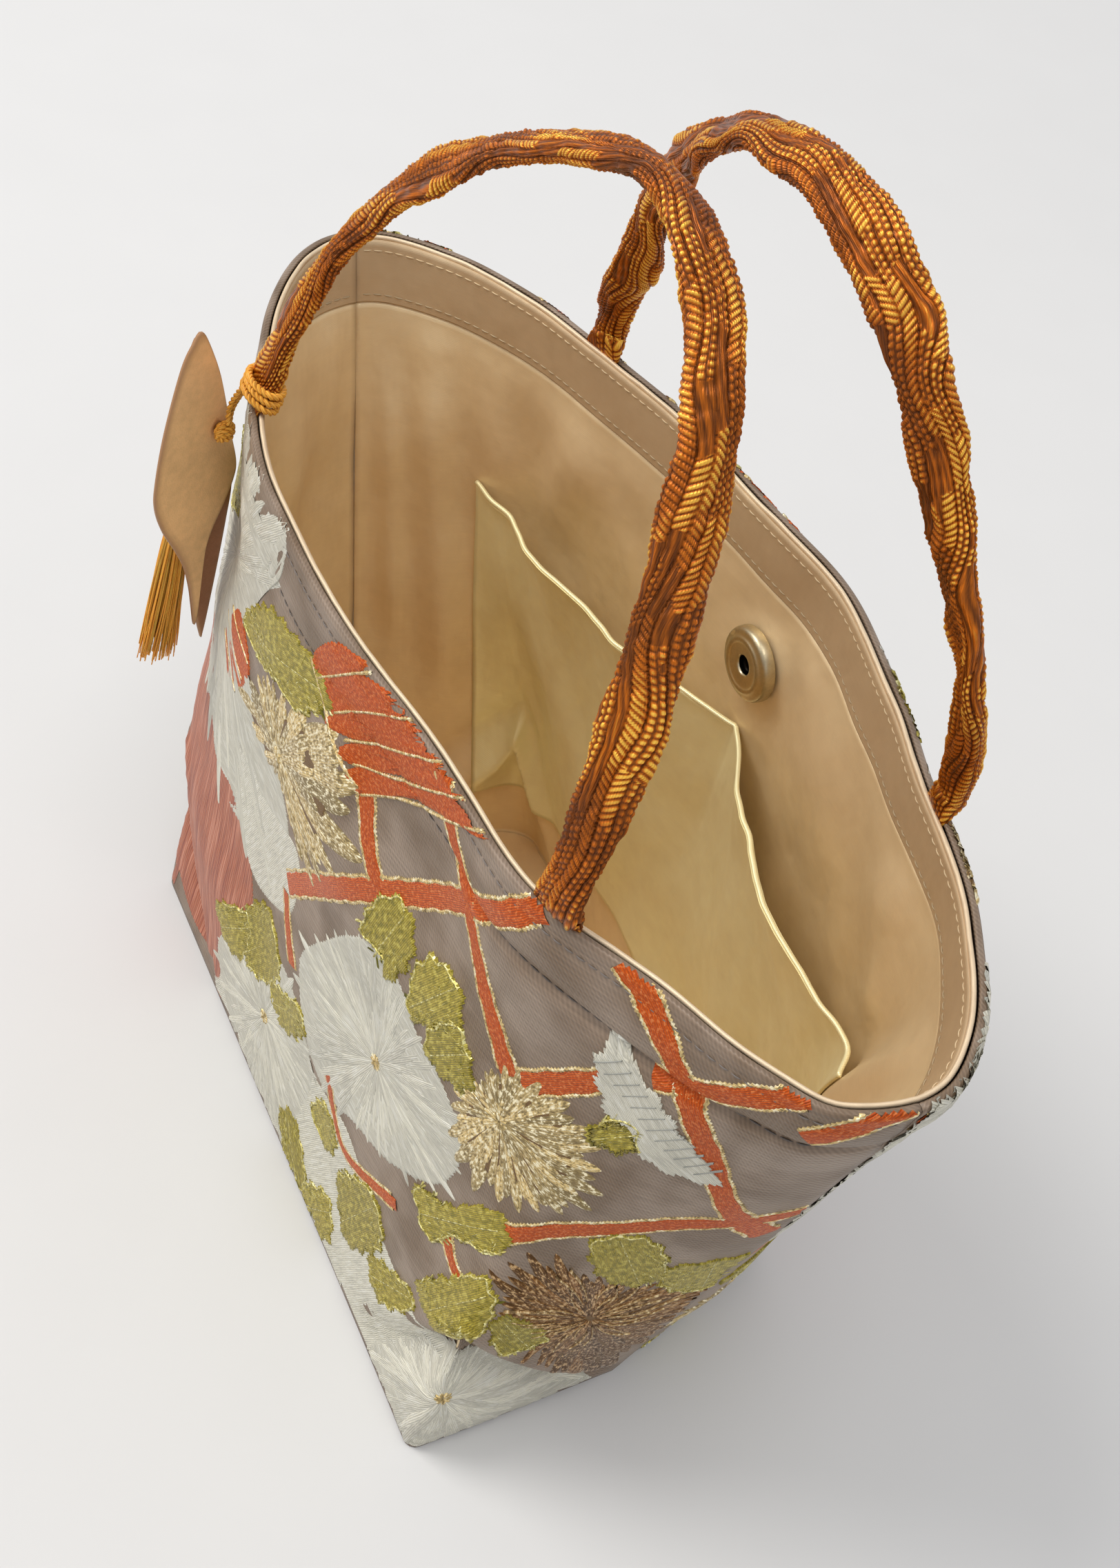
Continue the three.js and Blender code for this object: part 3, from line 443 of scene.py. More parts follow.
    def place(self, side, share, z, depth=0.0, outer=False):
        """Places on the wall, at a depth inside its outer face. Its outermost face has the seam dimples"""
        share, z, depth = np.broadcast_arrays(*(np.asarray(v, float) for v in (share, z, depth)))
        share = np.clip(share, 0, 1)
        over = np.maximum(z - self.height, 0) / EDGE_TURN
        depth = depth + EDGE_TURN * (1 - np.cos(over))
        z = np.minimum(z, self.height) + EDGE_TURN * np.sin(over)
        rise = np.clip(z / self.height, 0, 1)[..., None]
        flat, inward = [], []
        for outline, normals in (self.base[side], self.mouth[side]):
            flat.append(resampled(share, self.shares, outline))
            inward.append(resampled(share, self.shares, normals))
        inward = unit(inward[0] * (1 - rise) + inward[1] * rise)
        u = (share - 0.5) * self.panel
        out = self.relief(side, u, z) - self.gusset_crease(share, z) - self.tag_hollow(side, u, z)
        if outer:
            out = out - self.seam_dimple(u, z)
        near_seam = smoothstep(0, 0.035, np.minimum(share, 1 - share))
        out = out * (0.25 + 0.75 * near_seam)
        plan = flat[0] * (1 - rise) + flat[1] * rise + inward * (depth - out)[..., None]
        at_snap = np.exp(-((u / SNAP_FLAT) ** 2 + ((z - SNAP_Z) / SNAP_FLAT) ** 2) ** 3)
        plan[..., 1] += at_snap * (SNAP_SEAT - depth - plan[..., 1])
        return np.stack([plan[..., 0], side * plan[..., 1], z], -1)

    def normal(self, side, share, z, depth=0.0, outer=False):
        """Directions out of the wall"""
        step = 0.6
        across = self.place(side, share + step / self.panel, z, depth, outer) \
            - self.place(side, share - step / self.panel, z, depth, outer)
        up = self.place(side, share, z + step, depth, outer) - self.place(side, share, z - step, depth, outer)
        return unit(np.cross(across, up)) * (1 if side < 0 else -1)

    def shares_between(self, step):
        edge = SEAM_GAP / self.panel
        return marked(edge, 1 - edge, step / self.panel, (self.corner, 0.5, 1 - self.corner))

    def foot_shares(self, side):
        """Where along the cloth the two feet of a handle stand"""
        outline = self.mouth[side][0]
        return [float(np.interp(x, outline[:, 0], self.shares)) for x in (-self.foot_x, self.foot_x)]

    def foot_y(self):
        """How far from the bag's middle plane a handle's feet stand"""
        part = (1 - (self.foot_x / self.half_mouth) ** self.FULLNESS) ** (1 / self.FULLNESS)
        return self.half_mouth_width * part - FOOT_DEPTH * 0.95


# Meshes and pieces

def grid_faces(rows, columns, start=0, closed=False, flip=False):
    """Quads over a grid of points, row after row, joined round when closed"""
    spans = columns if closed else columns - 1
    row, column = np.meshgrid(np.arange(rows - 1), np.arange(spans), indexing="ij")
    low, high, following = row * columns, (row + 1) * columns, (column + 1) % columns
    quads = np.stack([low + column, low + following, high + following, high + column], -1).reshape(-1, 4) + start
    return quads[:, ::-1] if flip else quads


def new_piece(name, points, faces, material, body="bag", slot=None, uv=None, tone=None):
    """A mesh object from points in millimetres, riding on a body of the bag"""
    points = np.asarray(points, float).reshape(-1, 3) * MM
    mesh = bpy.data.meshes.new(name)
    mesh.from_pydata(points.tolist(), [], faces.tolist() if isinstance(faces, np.ndarray) else faces)
    mesh.update()
    if uv is not None:
        layer = mesh.uv_layers.new(name="fabric")
        loops = np.zeros(len(mesh.loops), np.int32)
        mesh.loops.foreach_get("vertex_index", loops)
        layer.data.foreach_set("uv", np.asarray(uv, np.float32).reshape(-1, 2)[loops].ravel())
    if tone is not None:
        attribute = mesh.attributes.new("tone", "FLOAT", "POINT")
        attribute.data.foreach_set("value", np.asarray(tone, np.float32).ravel())
    mesh.polygons.foreach_set("use_smooth", np.ones(len(mesh.polygons), bool))
    mesh.materials.append(material)
    piece = bpy.data.objects.new(name, mesh)
    tote_collection().objects.link(piece)
    if body:
        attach(piece, body)
    return piece


def tote_collection():
    found = bpy.data.collections.get(COLLECTION)
    if found is None:
        found = bpy.data.collections.new(COLLECTION)
        bpy.context.scene.collection.children.link(found)
    return found


def closed_sheet(name, outer, inner, uv, material, **riding):
    """A cloth with thickness: two grids of points, joined round their edges"""
    rows, columns = outer.shape[:2]
    count = rows * columns
    index = np.arange(count).reshape(rows, columns)
    border = np.concatenate([index[0, :-1], index[:-1, -1], index[-1, :0:-1], index[:0:-1, 0]])
    following = np.roll(border, -1)
    rim = np.stack([following, border, border + count, following + count], -1)
    faces = np.concatenate([grid_faces(rows, columns), grid_faces(rows, columns, count, flip=True), rim])
    faces = faces if outward_first(outer, inner) else faces[:, ::-1]
    points = np.concatenate([outer.reshape(-1, 3), inner.reshape(-1, 3)])
    uv = uv.reshape(-1, 2)
    piece = new_piece(name, points, faces, material, uv=np.concatenate([uv, uv]), **riding)
    piece.data.polygons.foreach_set("use_smooth", np.arange(len(faces)) < len(faces) - len(rim))
    return piece


def outward_first(outer, inner):
    """Whether a grid's faces look from the inner points to the outer ones"""
    rows, columns = outer.shape[0] // 2, outer.shape[1] // 2
    across = outer[rows, columns + 1] - outer[rows, columns]
    up = outer[rows + 1, columns] - outer[rows, columns]
    return np.dot(np.cross(across, up), outer[rows, columns] - inner[rows, columns]) > 0


def tube(path, across, other, wide, thick, sides):
    """Rings of points along a path, wide one way and thick the other"""
    angle = np.linspace(0, 2 * math.pi, sides, endpoint=False)
    return (path[:, None] + across[:, None] * (wide[:, None] / 2 * np.cos(angle))[..., None]
            + other[:, None] * (thick[:, None] / 2 * np.sin(angle))[..., None])


def capped_tube(rings):
    """Points and faces of a closed tube with flat ends"""
    count, sides = rings.shape[:2]
    faces = [tuple(f) for f in grid_faces(count, sides, closed=True)]
    points = np.concatenate([rings.reshape(-1, 3), [rings[0].mean(0)], [rings[-1].mean(0)]])
    first, last = len(points) - 2, len(points) - 1
    for i in range(sides):
        j = (i + 1) % sides
        faces.append((j, i, first))
        faces.append(((count - 1) * sides + i, (count - 1) * sides + j, last))
    return points, faces


def frames_along(path):
    """A pair of steady cross directions along a path"""
    tangents = directions(path)
    reference = np.array([0.0, 0.0, 1.0]) if abs(tangents[0][2]) < 0.8 else np.array([0.0, 1.0, 0.0])
    sides = [unit(np.cross(tangents[0], reference))]
    for tangent in tangents[1:]:
        sides.append(unit(sides[-1] - tangent * np.dot(sides[-1], tangent)))
    sides = np.array(sides)
    return sides, unit(np.cross(tangents, sides))


def round_thread(path, size, sides):
    """Points and faces of a closed round tube of one size, or of a size for each place"""
    size = np.broadcast_to(size, len(path))
    return capped_tube(tube(path, *frames_along(path), size, size, sides))


class Bundle:
    """Many small meshes gathered into one piece"""

    def __init__(self):
        self.points, self.faces, self.uv, self.tone, self.count = [], [], [], [], 0

    def add(self, points, faces, uv=None, tone=0.5):
        points = np.asarray(points, float).reshape(-1, 3)
        self.points.append(points)
        self.faces += [tuple(int(i) + self.count for i in face) for face in faces]
        self.uv.append(np.zeros((len(points), 2)) if uv is None else np.asarray(uv, float).reshape(-1, 2))
        self.tone.append(np.broadcast_to(tone, len(points)))
        self.count += len(points)

    def piece(self, name, material, **riding):
        return new_piece(name, np.concatenate(self.points), self.faces, material, uv=np.concatenate(self.uv),
                         tone=np.concatenate(self.tone), **riding)


def refinish(node, material):
    """Gives a solid of the frame that stays in view its own finish"""
    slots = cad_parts[node].data.materials
    slots.clear()
    slots.append(material)


# Shader nodes

def join(tree, socket, value):
    if isinstance(value, bpy.types.NodeSocket):
        tree.links.new(value, socket)
    elif value is not None:
        socket.default_value = value


class Nodes:
    """A node tree, with short ways to add the nodes that the finishes are made of"""

    def __init__(self, tree):
        self.tree = tree

    def add(self, kind, inputs=(), **settings):
        """A node with its settings, and its inputs set or linked by place or by name"""
        node = self.tree.nodes.new(kind)
        for name, value in settings.items():
            setattr(node, name, value)
        for socket, value in inputs.items() if isinstance(inputs, dict) else enumerate(inputs):
            join(self.tree, node.inputs[socket], value)
        return node

    def maths(self, operation, *values):
        return self.add("ShaderNodeMath", values, operation=operation).outputs[0]

    def mix(self, factor, first, second, kind="MIX"):
        inputs = {0: factor, 6: first, 7: second}
        return self.add("ShaderNodeMix", inputs, data_type="RGBA", blend_type=kind).outputs[2]

    def ranged(self, value, low, high, new_low=0.0, new_high=1.0):
        return self.add("ShaderNodeMapRange", (value, low, high, new_low, new_high)).outputs[0]

    def stretched(self, vector, scale):
        return self.add("ShaderNodeMapping", {"Vector": vector, "Scale": scale}).outputs[0]

    def noise(self, vector, scale, detail=2.0, roughness=0.5):
        inputs = {"Vector": vector, "Scale": scale, "Detail": detail, "Roughness": roughness}
        return self.add("ShaderNodeTexNoise", inputs).outputs["Fac"]

    def waves(self, vector, scale, distortion, direction="X"):
        inputs = {"Vector": vector, "Scale": scale, "Distortion": distortion, "Detail": 1.0, "Detail Scale": 1.0}
        return self.add("ShaderNodeTexWave", inputs, bands_direction=direction).outputs["Fac"]


def effect(name, inputs, outputs, build):
    """A shader node group that several materials use, built once"""
    group = bpy.data.node_groups.get(name)
    if group:
        return group
    group = bpy.data.node_groups.new(name, "ShaderNodeTree")
    for label, kind, default in inputs:
        socket = group.interface.new_socket(label, in_out="INPUT", socket_type=kind)
        if default is not None:
            socket.default_value = default
    for label in outputs:
        group.interface.new_socket(label, in_out="OUTPUT", socket_type="NodeSocketFloat")
    entry = group.nodes.new("NodeGroupInput")
    leave = group.nodes.new("NodeGroupOutput")
    for label, value in build(Nodes(group), entry.outputs).items():
        group.links.new(value, leave.inputs[label])
    return group


def thread_floats():
    """Silk lying along one way: the height and the shade of each thread"""
    def build(nodes, given):
        fine = nodes.maths("MULTIPLY", given["Threads per mm"], WAVE_PERIOD)
        bands = nodes.waves(given["Vector"], fine, 1.2)
        streak = nodes.noise(nodes.stretched(given["Vector"], (2.6, 0.16, 1)), given["Threads per mm"], 3.0)
        height = nodes.maths("MULTIPLY", bands, nodes.ranged(streak, 0.3, 0.7, 0.5, 1.0))
        return {"Height": height, "Shade": nodes.ranged(streak, 0.3, 0.7)}
    return effect("Thread floats", [("Vector", "NodeSocketVector", None), ("Threads per mm", "NodeSocketFloat", 2.0)],
                  ["Height", "Shade"], build)


def woven_ground():
    """A fine twill with slubs: height, and a shade from the slubs with painted shade where the weave lies low"""
    def build(nodes, given):
        fine = nodes.maths("DIVIDE", WAVE_PERIOD * 2, given["Pitch"])
        twill = nodes.waves(given["Vector"], fine, 0.4, "DIAGONAL")
        weft = nodes.waves(given["Vector"], nodes.maths("MULTIPLY", fine, 0.5), 0.6, "Y")
        slub = nodes.noise(nodes.stretched(given["Vector"], (0.12, 1.6, 1)), 1.0, 3.0, 0.6)
        height = nodes.maths("ADD", nodes.maths("MULTIPLY", twill, 0.6), nodes.maths("MULTIPLY", weft, 0.4))
        # Painted shade: the weave's low places come out darker
        shade = nodes.maths("MULTIPLY_ADD", slub, given["Slub"], nodes.maths("MULTIPLY", height, 0.35))
        return {"Height": height, "Shade": shade}
    return effect("Woven ground", [("Vector", "NodeSocketVector", None), ("Pitch", "NodeSocketFloat", 0.5),
                                   ("Slub", "NodeSocketFloat", 0.6)], ["Height", "Shade"], build)


def handling():
    """Slow change of tone where a thing is touched and folded"""
    def build(nodes, given):
        place = nodes.add("ShaderNodeTexCoord").outputs["Object"]
        broad = nodes.noise(place, given["Scale"], 3.0, 0.55)
        close = nodes.noise(place, nodes.maths("MULTIPLY", given["Scale"], 9.0), 2.0)
        total = nodes.maths("MULTIPLY_ADD", close, 0.35, nodes.maths("MULTIPLY", broad, 0.65))
        return {"Factor": nodes.ranged(total, 0.35, 0.65)}
    return effect("Handling", [("Scale", "NodeSocketFloat", 20.0)], ["Factor"], build)


class Finish(Nodes):
    """One material: a Principled shader with a few helpers round it"""

    def __init__(self, name, roughness, metallic=0.0, sheen=0.0, sheen_tint=(1, 1, 1, 1), anisotropic=0.0,
                 specular=0.5):
        self.material = bpy.data.materials.new(name)
        self.material.use_nodes = True
        super().__init__(self.material.node_tree)
        self.shader = self.tree.nodes["Principled BSDF"]
        settings = {"Roughness": roughness, "Metallic": metallic, "Sheen Weight": sheen,
                    "Sheen Tint": sheen_tint, "Sheen Roughness": 0.35, "Anisotropic": anisotropic,
                    "Specular IOR Level": specular}
        for socket, value in settings.items():
            self.set(socket, value)
        self.uv = self.add("ShaderNodeUVMap", uv_map="fabric").outputs[0]

    def set(self, socket, value):
        join(self.tree, self.shader.inputs[socket], value)

    def use(self, group, **values):
        node = self.tree.nodes.new("ShaderNodeGroup")
        node.node_tree = group
        for label, value in values.items():
            join(self.tree, node.inputs[label.replace("_", " ")], value)
        return node.outputs

    def tone(self):
        return self.add("ShaderNodeAttribute", attribute_name="tone").outputs["Fac"]

    def bump(self, height, distance, strength):
        """Relief from a height, over a distance in millimetres"""
        inputs = {"Height": height, "Distance": distance * MM, "Strength": strength}
        self.set("Normal", self.add("ShaderNodeBump", inputs).outputs[0])


def shaded(colour, amount):
    """A colour made darker or lighter, with full alpha"""
    return tuple(min(1.0, c * amount) for c in colour[:3]) + (1.0,)


def brocade_ground(colours):
    finish = Finish("brocade ground", 0.40, anisotropic=0.4, specular=0.35)
    weave = finish.use(woven_ground(), Vector=finish.uv, Pitch=1.1, Slub=0.8)
    base = finish.mix(weave["Shade"], shaded(colours.ground, 0.5), shaded(colours.ground, 1.5))
    cloud = finish.ranged(finish.noise(finish.uv, 0.055, 2.0), 0.38, 0.62)
    warm = finish.mix(cloud, (1.3, 1.3, 1.32, 1), (0.80, 0.72, 0.62, 1))
    finish.set("Base Color", finish.mix(1.0, base, warm, "MULTIPLY"))
    finish.set("Roughness", finish.ranged(weave["Shade"], 0.0, 1.0, 0.5, 0.34))
    finish.bump(weave["Height"], 0.14, 0.8)
    return finish.material


def silk_floats(name, colour, dark, light, threads, roughness=0.36, edge=0.8):
    """Coloured silk laid in floats, as on petals and leaves, with painted shade: darker at the edge of each petal and
    where the threads lie low
    """
    finish = Finish(name, roughness, anisotropic=0.5, specular=0.2)
    lay = finish.use(thread_floats(), Vector=finish.uv, Threads_per_mm=threads)
    shade = finish.mix(lay["Shade"], shaded(colour, dark), shaded(colour, light))
    # Painted shade towards a petal's edge, through the tone; the tone also differs at random from petal to petal
    by_petal = finish.mix(finish.tone(), (edge, edge, edge, 1), (1.1, 1.1, 1.08, 1))
    # Painted shade in the grooves between threads, where the floats lie low
    gap = finish.ranged(lay["Height"], 0.0, 0.35, 0.72, 1.0)
    tinted = finish.mix(1.0, shade, by_petal, "MULTIPLY")
    finish.set("Base Color", finish.mix(1.0, tinted, gap, "MULTIPLY"))
    finish.bump(lay["Height"], 0.16, 0.8)
    return finish


def flecked(finish, gap, light, share, size=(1.2, 0.6), level=0.5):
    """Thread that lies unevenly: darker gaps and lighter flecks over the finish's own colour. On metal thread the
    gaps are painted shade and the flecks painted glints
    """
    fleck = finish.noise(finish.stretched(finish.uv, (*size, 1)), 1.0, 2.0, 0.65)
    base = finish.shader.inputs["Base Color"].links[0].from_socket
    low = finish.ranged(fleck, level - 0.03, level - 0.12, 0.0, share)
    high = finish.ranged(fleck, level + 0.03, level + 0.12, 0.0, share)
    finish.set("Base Color", finish.mix(high, finish.mix(low, base, (*gap, 1)), (*light, 1)))
    return fleck


def gold_floats(name, colour, pale, edge):
    """Metal thread laid in floats, with pale flecks of painted glint and dark gaps of painted shade"""
    finish = silk_floats(name, colour, 0.6, 1.05, 1.7, 0.3, edge)
    fleck = flecked(finish, shaded(colour, 0.22)[:3], pale, 0.9, level=0.49)
    finish.set("Metallic", 0.5)
    finish.set("Roughness", finish.ranged(fleck, 0.4, 0.62, 0.48, 0.22))
    return finish.material


def lining_satin(name, colour, gloss=0.36):
    """Plain satin: a soft sheen that changes over small creases, with a fine rib"""
    finish = Finish(name, gloss, 0.38, sheen=0.05, sheen_tint=(1, 0.92, 0.78, 1), anisotropic=0.4)
    weave = finish.use(woven_ground(), Vector=finish.uv, Pitch=0.4, Slub=0.5)
    touch = finish.use(handling(), Scale=24.0)
    base = finish.mix(weave["Shade"], shaded(colour, 0.92), shaded(colour, 1.08))
    warm = finish.mix(touch["Factor"], (0.94, 0.9, 0.86, 1), (1.05, 1.04, 1.02, 1))
    finish.set("Base Color", finish.mix(0.85, base, warm, "MULTIPLY"))
    finish.set("Roughness", finish.ranged(touch["Factor"], 0.0, 1.0, gloss + 0.06, gloss - 0.03))
    crease = finish.noise(finish.stretched(finish.uv, (1, 0.6, 1)), 0.06, 3.0, 0.55)
    height = finish.maths("MULTIPLY_ADD", weave["Height"], 0.02, finish.maths("MULTIPLY", crease, 0.8))
    finish.bump(height, 2.4, 0.7)
    return finish.material


def braid_silk(colours):
    """Glossy yarn of the handles, with painted light: painted highlights on the ridges, deep red-brown painted shade
    in the grooves
    """
    finish = Finish("braided silk", 0.33, metallic=0.6, anisotropic=0.3)
    yarn = finish.use(thread_floats(), Vector=finish.uv, Threads_per_mm=2.6)
    touch = finish.use(handling(), Scale=36.0)
    # The tone carries painted light from the braid's relief: low in the grooves, high on the ridges
    middle = finish.ranged(finish.tone(), 0.06, 0.5)
    top = finish.ranged(finish.tone(), 0.55, 0.95)
    deep = finish.mix(yarn["Shade"], shaded(colours.cord, 0.14), shaded(colours.cord, 0.5))
    ridge = finish.mix(yarn["Shade"], shaded(colours.cord, 0.75), shaded(colours.cord, 1.6))
    base = finish.mix(middle, deep, ridge)
    # Painted highlight: where the tone is highest the colour turns bright gold-orange
    base = finish.mix(finish.maths("MULTIPLY", top, 0.95), base, (1.0, 0.58, 0.08, 1))
    worn = finish.mix(touch["Factor"], (0.72, 0.6, 0.5, 1), (1.15, 1.12, 1.0, 1))
    finish.set("Base Color", finish.mix(0.6, base, worn, "MULTIPLY"))
    finish.bump(yarn["Height"], 0.14, 0.7)
    return finish.material


def twisted_silk(name, colour, threads):
    """Plied silk or sewing thread"""
    return silk_floats(name, colour, 0.78, 1.2, threads, 0.34).material


def tag_leather(name, colour):
    """Vegetable-tanned leather with a burnished cut edge"""
    finish = Finish(name, 0.5)
    touch = finish.use(handling(), Scale=60.0)
    pores = finish.add("ShaderNodeTexVoronoi", {"Vector": finish.uv, "Scale": 2.2}).outputs["Distance"]
    grain = finish.noise(finish.uv, 1.1, 4.0, 0.65)
    face = finish.mix(touch["Factor"], shaded(colour, 0.86), shaded(colour, 1.12))
    face = finish.mix(finish.ranged(pores, 0.0, 0.28, 0.5, 0.0), face, shaded(colour, 0.62))
    edge = finish.ranged(finish.tone(), 0.0, 0.9, 1.0, 0.0)
    finish.set("Base Color", finish.mix(edge, face, (0.36, 0.18, 0.075, 1)))
    finish.set("Roughness", finish.ranged(grain, 0.3, 0.7, 0.44, 0.62))
    height = finish.maths("ADD", pores, finish.maths("MULTIPLY", grain, 0.6))
    finish.bump(height, 0.08, 0.5)
    return finish.material


def plated(name, colour, roughness):
    """Antique plating: worn bright on top and darker in the recesses; where the tone marks a hole it is painted near
    black as shade
    """
    finish = Finish(name, roughness, metallic=1.0)
    touch = finish.use(handling(), Scale=160.0)
    geometry = finish.add("ShaderNodeNewGeometry").outputs["Pointiness"]
    worn = finish.ranged(geometry, 0.47, 0.54, 0.0, 0.7)
    base = finish.mix(touch["Factor"], shaded(colour, 0.7), shaded(colour, 1.05))
    worn = finish.mix(worn, base, shaded(colour, 1.6))
    # Painted shade: near black where the tone marks the snap's hole
    finish.set("Base Color", finish.mix(finish.tone(), worn, (0.012, 0.01, 0.008, 1)))
    finish.set("Roughness", finish.ranged(touch["Factor"], 0.0, 1.0, roughness + 0.1, roughness - 0.06))
    finish.bump(touch["Factor"], 0.02, 0.3)
    return finish.material


def felted(name, colour):
    """Matte felted stiffener and board"""
    finish = Finish(name, 0.92)
    touch = finish.use(handling(), Scale=240.0)
    finish.set("Base Color", finish.mix(touch["Factor"], shaded(colour, 0.85), shaded(colour, 1.1)))
    finish.bump(touch["Factor"], 0.08, 0.6)
    return finish.material


def floor_paint():
    finish = Finish("pale floor", 0.85, specular=0.2)
    touch = finish.use(handling(), Scale=3.0)
    finish.set("Base Color", finish.mix(touch["Factor"], (0.655, 0.65, 0.64, 1), (0.67, 0.665, 0.655, 1)))
    return finish.material


# The brocade's motifs

class Floats:
    """Raised patches of thread on one panel, gathered by thread and laid on the cloth together"""

    # How far the edge of a petal and of a line of thread lies below the ground's face
    SUNK_PETAL, SUNK_LINE = -0.12, -0.05
    RIBBON_LIFT = 0.16
    # A bloom's rings of petals from the outermost in: share of the way to the outline, and lift
    PETAL_RINGS = ((1.03, 0.1), (0.86, 0.16), (0.66, 0.22), (0.42, 0.28))
    # How wide each thread's petals are, as a share of their even width
    PETAL_WIDTHS = {"white": 1.15, "gold": 0.95, "gold_in_painted_shade": 0.8}
    # Strokes of gold in the eye of a bloom, and pale curls, gold darkened as painted shade, over the gold flower in
    # shade
    EYE_STROKES, CURLS = 9, 26

    def __init__(self, wall, side, draw):
        self.wall, self.side, self.draw = wall, side, draw
        self.patches = {}

    def patch(self, thread, u, v, lift, across, along, tone):
        """A grid of cloth places with the height of the thread above the ground"""
        grids = np.broadcast_arrays(*(np.asarray(g, float) for g in (u, v, lift, across, along, tone)))
        self.patches.setdefault(thread, []).append(grids)

    def blade(self, thread, base, direction, length, width, lift, tone, profile, rows=None, columns=7, bend=0.0):
        """A petal or stroke from its base along a direction, crowned across its width"""
        rows = rows or max(8, int(length / 1.6))
        t, a = np.meshgrid(np.linspace(0, 1, rows), np.linspace(-1, 1, columns), indexing="ij")
        sway = bend * np.sin(math.pi * t)
        along, across = t * length, a * width / 2 * profile(t) + sway
        cosine, sine = math.cos(direction), math.sin(direction)
        u = base[0] + along * cosine - across * sine
        v = base[1] + along * sine + across * cosine
        crown = (1 - np.abs(a) ** 2.4) * smoothstep(0, 0.06, t) * smoothstep(1.0, 0.93, t)
        height = self.SUNK_PETAL + (lift - self.SUNK_PETAL) * crown
        # Painted shade: the tone falls off towards the petal's edges
        shade = tone * (1 - smoothstep(0.55, 1.0, np.abs(a)))
        self.patch(thread, u, v, height, across + tone * 17, along, shade)

    def fill(self, thread, outline, lift, tone=0.5, heading=0.0, teeth=0.28):
        """A flat field of thread inside a closed outline, with the small teeth of the weave at its edge"""
        ring = closed_curve(outline, 0.8)
        centre = ring.mean(0)
        away = ring - centre
        ring = ring + unit(away) * (teeth * np.where(np.arange(len(ring)) % 2, 1, -1))[:, None]
        away = np.vstack([ring, ring[:1]]) - centre
        size = np.linalg.norm(away, axis=1).mean()
        edge = [1, 1 - 0.35 / size, 1 - 1.2 / size]
        shares = np.concatenate([edge, np.linspace(0.8, 0, max(4, int(size / 4)))])
        points = centre + away[None] * shares[:, None, None]
        crown = np.where(shares > 0.999, -0.1, lift) + 0.12 * (1 - shares ** 2)
        cosine, sine = math.cos(heading), math.sin(heading)
        along = points[..., 0] * cosine + points[..., 1] * sine
        across = points[..., 1] * cosine - points[..., 0] * sine
        self.patch(thread, points[..., 0], points[..., 1], crown[:, None], across, along, tone)

    def bloom(self, entry, level):
        """A chrysanthemum: rings of long petals from its eye out to an outline"""
        thread, petals, centre, outline = entry
        centre, draw = np.array(centre, float), self.draw
        # Under gold petals the fill is painted shade that shows between them; under white petals it is white silk
        share, backing, profile = ((0.9, "white", pointed_profile) if thread == "white"
                                   else (0.66, "shade", petal_profile))
        self.fill(backing, centre + (np.array(outline, float) - centre) * share, level + 0.02, 0.25)
        for ring, (scale, lift) in enumerate(self.PETAL_RINGS):
            count = petals if ring < 3 else petals * 2 // 3
            for k in range(count):
                angle = 2 * math.pi * (k + 0.5 * ring + draw.uniform(-0.14, 0.14)) / count
                radius = reach(outline, centre, angle) * scale * draw.uniform(0.9, 1.05)
                width = 2 * math.pi * radius * 0.62 / count * self.PETAL_WIDTHS[thread] + 0.9
                tone = draw.uniform(0.1, 0.95)
                self.blade(thread, centre, angle, radius, width, lift + level + 0.02 * (k % 3), tone, profile,
                           bend=draw.uniform(-0.7, 0.7))
        for k in range(self.EYE_STROKES if petals < 30 else 0):
            self.blade("gold", centre, 2 * math.pi * k / self.EYE_STROKES, 2.4, 1.7, level + 0.5,
                       draw.uniform(0.4, 1), petal_profile, rows=6, columns=5)

    def curls(self, centre, level):
        """Fine pale lines that curl out over the petals of the gold flower in painted shade, darkened with it"""
        for k in range(self.CURLS):
            angle = 2 * math.pi * k / self.CURLS + self.draw.uniform(-0.1, 0.1)
            outward = np.array([math.cos(angle), math.sin(angle)])
            start = np.array(centre) + outward * self.draw.uniform(3, 9)
            length = self.draw.uniform(8, 17)
            t = np.linspace(0, 1, 5)[:, None]
            sideways = np.array([-outward[1], outward[0]]) * self.draw.choice([-1, 1])
            self.strip("curl", start + outward * length * t + sideways * 3.2 * t ** 2.5, 0.5, level, 0.7)

    def leaf(self, outline, level, thread="green"):
        """A toothed leaf. A green one has straw-coloured flecks, edge and vein, and dark side veins"""
        draw = self.draw
        points = closed_curve(outline, 1.0)
        centre = points.mean(0)
        _, _, axes = np.linalg.svd(points - centre)
        heading = math.atan2(axes[0][1], axes[0][0])
        lobes = points + unit(points - centre) * (0.9 * np.sin(np.arange(len(points)) * 0.95))[:, None]
        self.fill(thread, lobes[::2], level + 0.12, draw.uniform(0.2, 0.8), heading, 0.5)
        if thread == "white":
            return
        vein = axes[0] * np.abs((points - centre) @ axes[0]).max()
        length = np.linalg.norm(vein)
        first = draw.randint(len(lobes))
        rim = np.roll(lobes, first, 0)[:int(len(lobes) * 0.55):3]
        self.strip("straw", rim + (centre - rim) * 0.06, 0.75, level + 0.26, 0.8, 0.5)
        self.strip("straw", [centre - vein * 0.8, centre + vein * 0.8], 0.5, level + 0.24, 0.7, 0.4)
        for k in range(int(len(points) * 0.8)):
            edge = points[(first + draw.randint(int(len(points) * 0.6))) % len(points)]
            place = edge + (centre - edge) * draw.uniform(0.0, 0.6)
            self.blade("straw", place, heading + draw.uniform(-0.7, 0.7), draw.uniform(1.6, 3.6),
                       draw.uniform(0.5, 1.0), level + 0.3, draw.uniform(0.5, 1), petal_profile, 5, 3)
        for k in range(-3, 4):
            for turn in (-0.8, 0.8):
